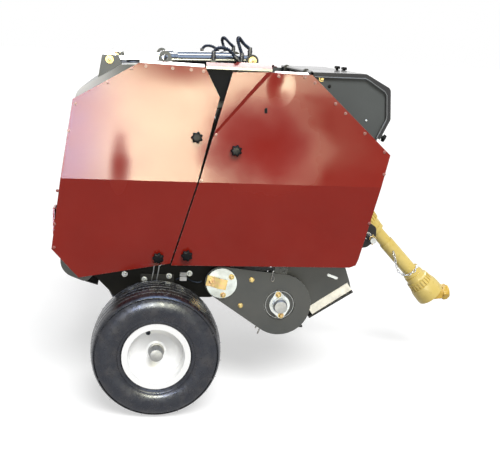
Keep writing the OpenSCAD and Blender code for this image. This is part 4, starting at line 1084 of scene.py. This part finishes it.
# %% Turn the guards
shaft_at = pivots["shaft_raise"]
DIP = math.radians(46)
shaft_way = Vector((math.cos(DIP), 0, -math.sin(DIP)))
SHAFT_L = 0.525
BELL = [(0.0505, 0.0100), (0.0530, 0.0070), (0.0556, 0.0090), (0.0560, 0.0140), (0.0556, 0.0340),
        (0.0535, 0.0500), (0.0500, 0.0610), (0.0492, 0.0650), (0.0440, 0.0660), (0.0415, 0.0920),
        (0.0452, 0.0930), (0.0452, 0.0960), (0.0400, 0.0990), (0.0385, 0.1020), (0.0385, 0.1220),
        (0.0372, 0.1235), (0.0345, 0.1240), (0.0345, 0.1270),
        (0.0365, 0.1275), (0.0365, 0.1440), (0.0352, 0.1450)]
INSIDE = [(0, 0.1000), (0.0200, 0.1000), (0.0375, 0.0920), (0.0400, 0.0680), (0.0460, 0.0600),
          (0.0500, 0.0400)]
bm = bmesh.new()
add_lathe(bm, INSIDE + BELL + [(0.0265, 0.1455), (0.0265, 0.3920), (0, 0.3920)], shaft_at, shaft_way, 56)
make_piece("guard_near_moulded", bm, nodes_body["pto_near"], guard_yellow, ("pto_near",), 34)
shaft_end = shaft_at + shaft_way * SHAFT_L
bm = bmesh.new()
MOUTH_WIDER, MOUTH_REACH = 1.09, 0.010
far_bell = [(r * MOUTH_WIDER, along - MOUTH_REACH if along < 0.05 else along) for r, along in INSIDE + BELL]
add_lathe(bm, far_bell + [(0.0300, 0.1455), (0.0300, 0.3120), (0.0292, 0.3150), (0.0272, 0.3150),
                          (0.0272, 0.1500), (0, 0.1500)], shaft_end, -shaft_way, 56)
make_piece("guard_far_moulded", bm, nodes_body["pto_far"], guard_yellow, ("pto_far",), 34)

# %% [markdown]
# The ribs repeat round the axis, so a node tree sets one block on each point of a circle. Each point knows
# two directions: the block stands along the first and lies along the second, which follows the shaft.

# %% Node tree: ribs on the bells
rib_tree, rib_in, rib_out = tree_with("guard_ribs", [
    ("Long", "Float"), ("Wide", "Float"), ("High", "Float"), ("Material", "Material")])
rib_size = node(rib_tree, "ShaderNodeCombineXYZ", {
    "X": rib_in.outputs["Wide"], "Y": rib_in.outputs["Long"], "Z": rib_in.outputs["High"]})
rib_block = node(rib_tree, "GeometryNodeMeshCube", {"Size": rib_size.outputs["Vector"]})
rib_stand = node(rib_tree, "FunctionNodeAlignRotationToVector", {"Vector": point_value(rib_tree, "aim")},
                 axis="Z")
rib_turn = node(rib_tree, "FunctionNodeAlignRotationToVector",
                {"Rotation": rib_stand.outputs["Rotation"], "Vector": point_value(rib_tree, "lie")},
                axis="Y", pivot_axis="Z")
rib_dots = node(rib_tree, "GeometryNodeMeshToPoints", {"Mesh": rib_in.outputs["Geometry"]})
rib_set = node(rib_tree, "GeometryNodeInstanceOnPoints", {
    "Points": rib_dots.outputs["Points"], "Instance": rib_block.outputs["Mesh"],
    "Rotation": rib_turn.outputs["Rotation"]})
end_tree(rib_tree, rib_set.outputs["Instances"], rib_in, rib_out)

RIBS, BELT = 22, 0.0438
for name, start, way, carrier, belt in (("near_ribs", shaft_at, shaft_way, "pto_near", BELT),
                                        ("far_ribs", shaft_end, -shaft_way, "pto_far", BELT * MOUTH_WIDER)):
    side, over_it = cross_axes(way)
    spots, lies = [], []
    for i in range(RIBS):
        angle = math.tau * i / RIBS
        out_way = math.cos(angle) * side + math.sin(angle) * over_it
        spots.append((start + way * 0.079 + out_way * belt, (out_way + way * 0.1).normalized()))
        lies.append((way - out_way * 0.1).normalized())
    ring = points_mesh(name + "_points", spots)
    lie = ring.attributes.new("lie", "FLOAT_VECTOR", "POINT")
    for i, value in enumerate(lies):
        lie.data[i].vector = value
    grow(name, rib_tree, ring, {"Long": 0.0275, "Wide": 0.0058, "High": 0.0060}, nodes_body[carrier],
         guard_yellow)

# %% [markdown]
# A thin chain keeps the guard from turning. Links repeat along a line, every second one turned by a quarter
# turn, which is a job for a tree: it walks the line, sets a link on each point and turns the odd ones.

# %% Node tree: chain
chain_tree, chain_in, chain_out = tree_with("guard_chain", [
    ("Pitch", "Float"), ("Wire", "Float"), ("Link width", "Float"), ("Material", "Material")])
chain_dots = node(chain_tree, "GeometryNodeCurveToPoints", {
    "Curve": chain_in.outputs["Geometry"], "Length": chain_in.outputs["Pitch"]}, mode="LENGTH")
link_path = wire_ring(chain_tree, 12, chain_in.outputs["Link width"])
link_long = node(chain_tree, "GeometryNodeTransform",
                 {"Geometry": link_path, "Scale": (1.0, 1.75, 1.0), "Rotation": (math.pi / 2, 0, 0)})
link_wire = wire_ring(chain_tree, 6, chain_in.outputs["Wire"])
link_mesh = node(chain_tree, "GeometryNodeCurveToMesh",
                 {"Curve": link_long.outputs["Geometry"], "Profile Curve": link_wire})
count = node(chain_tree, "GeometryNodeInputIndex")
odd = calc(chain_tree, "MODULO", count.outputs["Index"], 2.0)
quarter = node(chain_tree, "FunctionNodeAxisAngleToRotation", {
    "Axis": (0, 0, 1), "Angle": calc(chain_tree, "MULTIPLY", odd, math.pi / 2)})
link_turn = node(chain_tree, "FunctionNodeRotateRotation",
                 {"Rotation": chain_dots.outputs["Rotation"], "Rotate By": quarter.outputs["Rotation"]},
                 rotation_space="LOCAL")
links = node(chain_tree, "GeometryNodeInstanceOnPoints", {
    "Points": chain_dots.outputs["Points"], "Instance": link_mesh.outputs["Mesh"],
    "Rotation": link_turn.outputs["Rotation"]})
end_tree(chain_tree, links.outputs["Instances"], chain_in, chain_out)

near_side, down_side = Vector((0, -1, 0)), Vector((-math.sin(DIP), 0, -math.cos(DIP)))
chain_line = []
for s, angle, gap in ((0.258, 10, 0.0335), (0.284, 30, 0.0345), (0.312, 52, 0.040), (0.340, 62, 0.047),
                      (0.362, 56, 0.046), (0.374, 36, 0.0425), (0.378, 10, 0.0415), (0.379, -20, 0.0415),
                      (0.378, -50, 0.0415)):
    a = math.radians(angle)
    chain_line.append(shaft_at + shaft_way * s + (near_side * math.cos(a) + down_side * math.sin(a)) * gap)
grow("guard_chain", chain_tree, curve_through("chain_line", [smooth_line(chain_line)]),
     {"Pitch": 0.0125, "Wire": 0.0016, "Link width": 0.0046}, nodes_body["pto_far"], chain_zinc)

# %% [markdown]
# ## Lamps
# Each tail lamp is a black housing with a two-part lens: pale above, red below, with a rounded edge.

# %% Build the lamps
low_corner, high_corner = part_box("tail_lamps")
for side_name, side in SIDES:
    y0, y1 = sorted((side * 0.330, side * 0.270))
    z0, z1 = low_corner[2], high_corner[2]
    x0 = low_corner[0]
    bm = bmesh.new()
    add_plate(bm, [(0, 0), (y1 - y0, 0), (y1 - y0, z1 - z0), (0, z1 - z0)], (x0 + 0.0045, y0, z0),
              (0, 1, 0), (0, 0, 1), high_corner[0] - x0 - 0.012, 0.002)
    make_piece("lamp_housing_" + side_name, bm, nodes_body["tail_lamps"], knob_plastic)
    for part, finish, from_z, to_z in (("red", lamp_red, z0 + 0.004, z0 + 0.050),
                                       ("pale", lamp_pale, z0 + 0.051, z1 - 0.004)):
        bm = bmesh.new()
        add_plate(bm, [(0, 0), (y1 - y0 - 0.008, 0), (y1 - y0 - 0.008, to_z - from_z), (0, to_z - from_z)],
                  (x0, y0 + 0.004, from_z), (0, 1, 0), (0, 0, 1), 0.006, 0.0022)
        make_piece("lamp_" + part + "_" + side_name, bm, nodes_body["tail_lamps"], finish)

# %% [markdown]
# ## Bonnet trim
# A rolled bead runs along the lid's rim, two small knobs stand on its top, and a star knob on a bolt locks
# its front edge.

# %% Bead, knobs and lock
LID_LINE = [(500, 399), (686, 401), (700, 395), (776, 357), (784, 345), (790, 262), (790, 246), (785, 232),
            (760, 177)]
lid_body = nodes_body["bonnet_lid"]
# The bead's grey is a painted highlight along the lid's rim.
bm = bmesh.new()
for side in (-1, 1):
    bead = [at(dx - 15 if i > 2 else dx, side * 365, dz - (15 if i < 5 else 0))
            for i, (dx, dz) in enumerate(LID_LINE)]
    add_tube(bm, bead, 0.0022, 8)
make_piece("lid_bead", bm, lid_body, bead_highlight_paint)
bm = bmesh.new()
for dx in (662, 690):
    add_star(bm, at(dx, -6, 401 if dx < 670 else 398), (0.05, 0, 1), 0.012, 0.016, 6)
make_piece("lid_knobs", bm, lid_body, knob_plastic, (), 50)
bm = bmesh.new()
add_star(bm, at(769, -334, 178), (0.85, -0.2, -0.45), 0.015, 0.018, 6)
add_tube(bm, [at(752, -330, 186), at(770, -334, 177)], 0.004, 10)
make_piece("lid_lock", bm, lid_body, knob_plastic, (), 50)

# %% [markdown]
# ## Wires and control rods
# Above the tyre two thin rods go up behind the shield, and a cable with a white plug runs along the
# chassis. A black rubber plug fills the slot in the front shield.

# %% Rods, cable and plug
chassis_body = nodes_body["frame_walls"]
for side_name, side in SIDES:
    bm = bmesh.new()
    for dx in (-49, -31):
        add_tube(bm, smooth_line([at(dx - 6, side * 366, -376), at(dx, side * 367, -340),
                                  at(dx + 4, side * 368, -318), at(dx + 22, side * 366, -312)]), 0.0024, 8)
    make_piece("control_rods_" + side_name, bm, chassis_body, zinc)
    bm = bmesh.new()
    cable = [at(34, side * 362, -372), at(48, side * 363, -364), at(58, side * 364, -362),
             at(75, side * 363, -366), at(96, side * 362, -378), at(118, side * 362, -381),
             at(128, side * 360, -377)]
    add_tube(bm, smooth_line(cable), 0.0026, 8)
    make_piece("lamp_cable_" + side_name, bm, chassis_body, hose_rubber)
    bm = bmesh.new()
    for dz in (-0.0085, 0.0085):
        add_plate(bm, [(-0.0125, -0.0075), (0.0125, -0.0075), (0.0125, 0.0075), (-0.0125, 0.0075)],
                  at(60, side * 360, -358) + Vector((0, 0, dz)), (1, 0, 0), (0, 0, 1), -0.012 * side,
                  0.0015)
    make_piece("cable_plug_" + side_name, bm, chassis_body, white_plastic)
    bm = bmesh.new()
    slot_way = shield_normal(0.262, side)
    slot_at = at(322, side * 1000 * shield_y(0.262), 262)
    outline = []
    for i in range(20):
        angle = math.tau * i / 20
        stretch = 0.0065 if math.sin(angle) > 0 else -0.0065
        outline.append((0.0055 * math.cos(angle), 0.0055 * math.sin(angle) + stretch))
    add_plate(bm, outline, slot_at - slot_way * 0.002, (0.97, 0, 0.24), Vector((0, 0, 1)), 0.0032 * -side,
              0.0006)
    make_piece("slot_plug_" + side_name, bm, nodes_body["front_shields"], seal_black)

# %% [markdown]
# ## Folded edges and the notch's painted shade
# The shields' top edges are folded inwards, and the fold catches the sky. Behind the notch between front
# and rear shield hangs a black sheet, painted shade for the dark inside seen through the notch. All of
# these are flat, so the plate builder makes them.

# %% Flanges and the notch's painted shade
FLANGE_IN, FLANGE_UP = 0.026, 0.009
TOP_EDGES = (("rear_flange_", "rear_shields", (-113, 405), (106, 400)),
             ("front_flange_", "front_shields", (352, 388), (470, 388)))
NOTCH_SHADE = [(0.092, 0.285), (0.225, 0.285), (0.225, 0.405), (0.092, 0.405)]
for side_name, side in SIDES:
    for name, carrier, start, end in TOP_EDGES:
        a, b = (at(dx, side * 1000 * shield_y(dz / 1000), dz) for dx, dz in (start, end))
        inward = Vector((0, -side * FLANGE_IN, FLANGE_UP))
        bm = bmesh.new()
        add_plate(bm, [(0, 0), ((b - a).length, 0), ((b - a).length, inward.length), (0, inward.length)], a,
                  b - a, inward, -0.0015 * side, 0.0004)
        make_piece(name + side_name, bm, nodes_body[carrier], flange_paint)
    # A near-black sheet behind the notch: painted shade for the dark inside.
    bm = bmesh.new()
    add_plate(bm, NOTCH_SHADE, at(0, side * 376, 0), (1, 0, 0), (0, 0, 1), 0.003 * side, 0.0005)
    make_piece("notch_seal_" + side_name, bm, nodes_body["frame_walls"], seal_black)

# %% [markdown]
# The wind guard is set in slots, each with a long nut, whose outline is two half circles drawn apart. A dark
# bar stiffens the guard's lower edge.

# %% Slot nuts and bar
for side_name, side in SIDES:
    slot_a, slot_b = at(605, side * 360.3, -346), at(637, side * 360.3, -358)
    slot_along = (slot_b - slot_a).normalized()
    outline = []
    for i in range(24):
        angle = math.tau * (i + 0.5) / 24
        outline.append((0.0050 * math.cos(angle) + (0.017 if math.cos(angle) > 0 else -0.017),
                        0.0050 * math.sin(angle)))
    bm = bmesh.new()
    add_plate(bm, outline, (slot_a + slot_b) / 2, slot_along, Vector((-slot_along.z, 0, slot_along.x)),
              0.003 * side, 0.0004)
    make_piece("slot_nut_" + side_name, bm, nodes_body["wind_guard"], cast_grey)
BAR_FROM, BAR_TO, BAR_HALF, BAR_T = (542, -517), (705, -412), 364, 0.008
bar_way = at(BAR_TO[0], 0, BAR_TO[1]) - at(BAR_FROM[0], 0, BAR_FROM[1])
bm = bmesh.new()
add_plate(bm, [(0, 0), (bar_way.length, 0), (bar_way.length, BAR_T), (0, BAR_T)],
          at(BAR_FROM[0], BAR_HALF, BAR_FROM[1]), bar_way, Vector((-bar_way.z, 0, bar_way.x)),
          2 * BAR_HALF / 1000, 0.001)
make_piece("wind_guard_bar", bm, nodes_body["wind_guard"], chassis_paint)

# %% [markdown]
# A collar on the tractor yoke releases its lock, with lobes for the hand. It is a ring whose outer radius
# waves round the yoke's axis, so it is built ring by ring and closed on itself.

# %% Yoke collar
YOKE_RISE, YOKE_L = math.radians(9), 0.078
yoke_way = Vector((math.cos(YOKE_RISE), 0, math.sin(YOKE_RISE)))
yoke_up = Vector((-yoke_way.z, 0, yoke_way.x))
COLLAR_IN, COLLAR_OUT, COLLAR_LOBES, COLLAR_STEPS = 0.0285, 0.0345, 6, 48
collar_at = shaft_end + yoke_way * YOKE_L
bm = bmesh.new()
rings = []
for along, share in ((-0.028, 0.0), (-0.028, 0.7), (-0.025, 1.0), (-0.010, 1.0), (-0.007, 0.7),
                     (-0.007, 0.0)):
    ring = []
    for i in range(COLLAR_STEPS):
        angle = math.tau * i / COLLAR_STEPS
        lobe = 0.55 + 0.45 * math.cos(COLLAR_LOBES * angle)
        r = COLLAR_IN + (COLLAR_OUT - COLLAR_IN) * share * lobe
        across = Vector((0, r * math.cos(angle), 0)) + yoke_up * (r * math.sin(angle))
        ring.append(bm.verts.new(collar_at + yoke_way * along + across))
    rings.append(ring)
add_skin(bm, rings + rings[:1])
make_piece("yoke_collar", bm, nodes_body["pto_yoke"], yoke_paint)

# %% [markdown]
# ## Hitch pins
# Each lower link pin has a cross hole near its end with a spring clip through it.

# %% Linch clips
link_at = at(746, 0, -193)
for side_name, side in SIDES:
    out_way = Vector((0, side, 0))
    clip_at = link_at + out_way * 0.420
    bm = bmesh.new()
    ring_line = [clip_at + Vector((0.011 * math.sin(a), 0, 0.004 + 0.011 * math.cos(a)))
                 for a in [math.radians(25 * k - 150) for k in range(13)]]
    add_tube(bm, ring_line, 0.0018, 8)
    add_tube(bm, [clip_at + Vector((0, 0, -0.017)), clip_at + Vector((0, 0, 0.020))], 0.0032, 10)
    make_piece("linch_clip_" + side_name, bm, nodes_body["link_pins"], gold_zinc)

# %% [markdown]
# ## Floor and light
# A pale floor keeps the machine's shadow and, like the world, is white to the camera and in reflections. To
# every other ray the world is a weak, even fill of light from the whole sky.

# %% Floor and world
FLOOR_TONES = ((0.50, 0.50, 0.495), (0.54, 0.54, 0.535))
FLOOR_HALF = 60
FLOOR_GLOW = 0.55
SKY_FILL = 0.28


def seen_white(tree):
    """1 for rays from the camera and for those that mirrors and glass send on."""
    path = node(tree, "ShaderNodeLightPath")
    return plus(tree, plus(tree, path.outputs["Is Camera Ray"], path.outputs["Is Glossy Ray"]),
                path.outputs["Is Transmission Ray"])


floor_mesh = bpy.data.meshes.new("floor")
floor_corners = [(x * FLOOR_HALF, y * FLOOR_HALF, 0) for x, y in ((-1, -1), (1, -1), (1, 1), (-1, 1))]
floor_mesh.from_pydata(floor_corners, [], [(0, 1, 2, 3)])
floor = in_scene("floor", floor_mesh)
pale_floor, floor_tree, floor_shader = start_finish("pale_floor", FLOOR_TONES[0], 0.9)
feed(floor_tree, floor_shader, colour=blend(floor_tree, cloud(floor_tree, 2), *FLOOR_TONES))
floor_shader.inputs["Emission Color"].default_value = (1, 1, 1, 1)
floor_tree.links.new(between(floor_tree, seen_white(floor_tree), 0.0, FLOOR_GLOW),
                     floor_shader.inputs["Emission Strength"])
floor_mesh.materials.append(pale_floor)

world = bpy.data.worlds.new("sky")
bpy.context.scene.world = world
world.use_nodes = True
sky = world.node_tree
background = sky.nodes["Background"]
background.inputs["Color"].default_value = (1, 1, 1, 1)
sky.links.new(between(sky, seen_white(sky), SKY_FILL, 1.0), background.inputs["Strength"])

print("floor", 2 * FLOOR_HALF, "m wide; sky fill", SKY_FILL)

# %% [markdown]
# A soft sun behind the camera lights the machine. Gloss paint also mirrors what stands around it, so six
# rectangles show in gloss alone: pale sky behind the machine, blue sky above it, and a house behind the
# camera, as a warm wall with its gable and roof and a violet wall in the shade. The upper shields lean back
# by nine degrees and mirror the house, and the lower halves, which lean the other way, stay deep red.

# %% Sun, and what the gloss mirrors
SUN_FROM = Vector((0.6, -2.8, 3.3))
SUN_STRENGTH, SUN_ANGLE = 3.2, math.radians(30)
sun_data = bpy.data.lights.new("soft_sun", "SUN")
sun_data.energy, sun_data.angle = SUN_STRENGTH, SUN_ANGLE
sun = in_scene("soft_sun", sun_data)
sun.visible_glossy = False
sun.rotation_euler = (-SUN_FROM).to_track_quat("-Z", "Y").to_euler()


def mirrored_lamp(name, place_at, target, size, watts, tint=(1, 1, 1)):
    """A rectangle of light that shows in gloss and adds nothing to the other light on the machine."""
    data = bpy.data.lights.new(name, "AREA")
    data.shape = "RECTANGLE"
    data.size, data.size_y = size
    data.energy = watts
    data.color = tint
    lamp = in_scene(name, data)
    lamp.location = place_at
    lamp.rotation_euler = (Vector(target) - Vector(place_at)).to_track_quat("-Z", "Y").to_euler()
    lamp.visible_diffuse = False


HOUSE_Y = -8.5
WARM, VIOLET, SKY_BLUE = (1.0, 0.96, 0.66), (0.66, 0.74, 1.0), (0.50, 0.68, 1.0)
for name, x, z, wide, tall, watts, tint in (
        ("warm_wall", AXLE_X + 0.13, 2.60, 1.50, 2.20, 590, WARM),
        ("warm_gable", AXLE_X + 1.25, 3.50, 0.75, 0.90, 120, WARM),
        ("warm_roof", AXLE_X + 2.15, 3.62, 1.30, 0.70, 62, WARM),
        ("violet_wall", AXLE_X - 1.25, 2.60, 1.25, 2.20, 290, VIOLET)):
    mirrored_lamp(name, (x, HOUSE_Y, z), (x, 0, z), (wide, tall), watts, tint)
mirrored_lamp("high_sky", (0.1, 2.9, 4.6), (0, -0.4, 1.2), (3.2, 2.6), 340)
mirrored_lamp("blue_sky", (0.0, -2.0, 6.0), (0, -0.3, 0.5), (5.0, 4.5), 560, SKY_BLUE)
bpy.context.scene.view_settings.view_transform = "Standard"
print("lights:", len(bpy.data.lights))
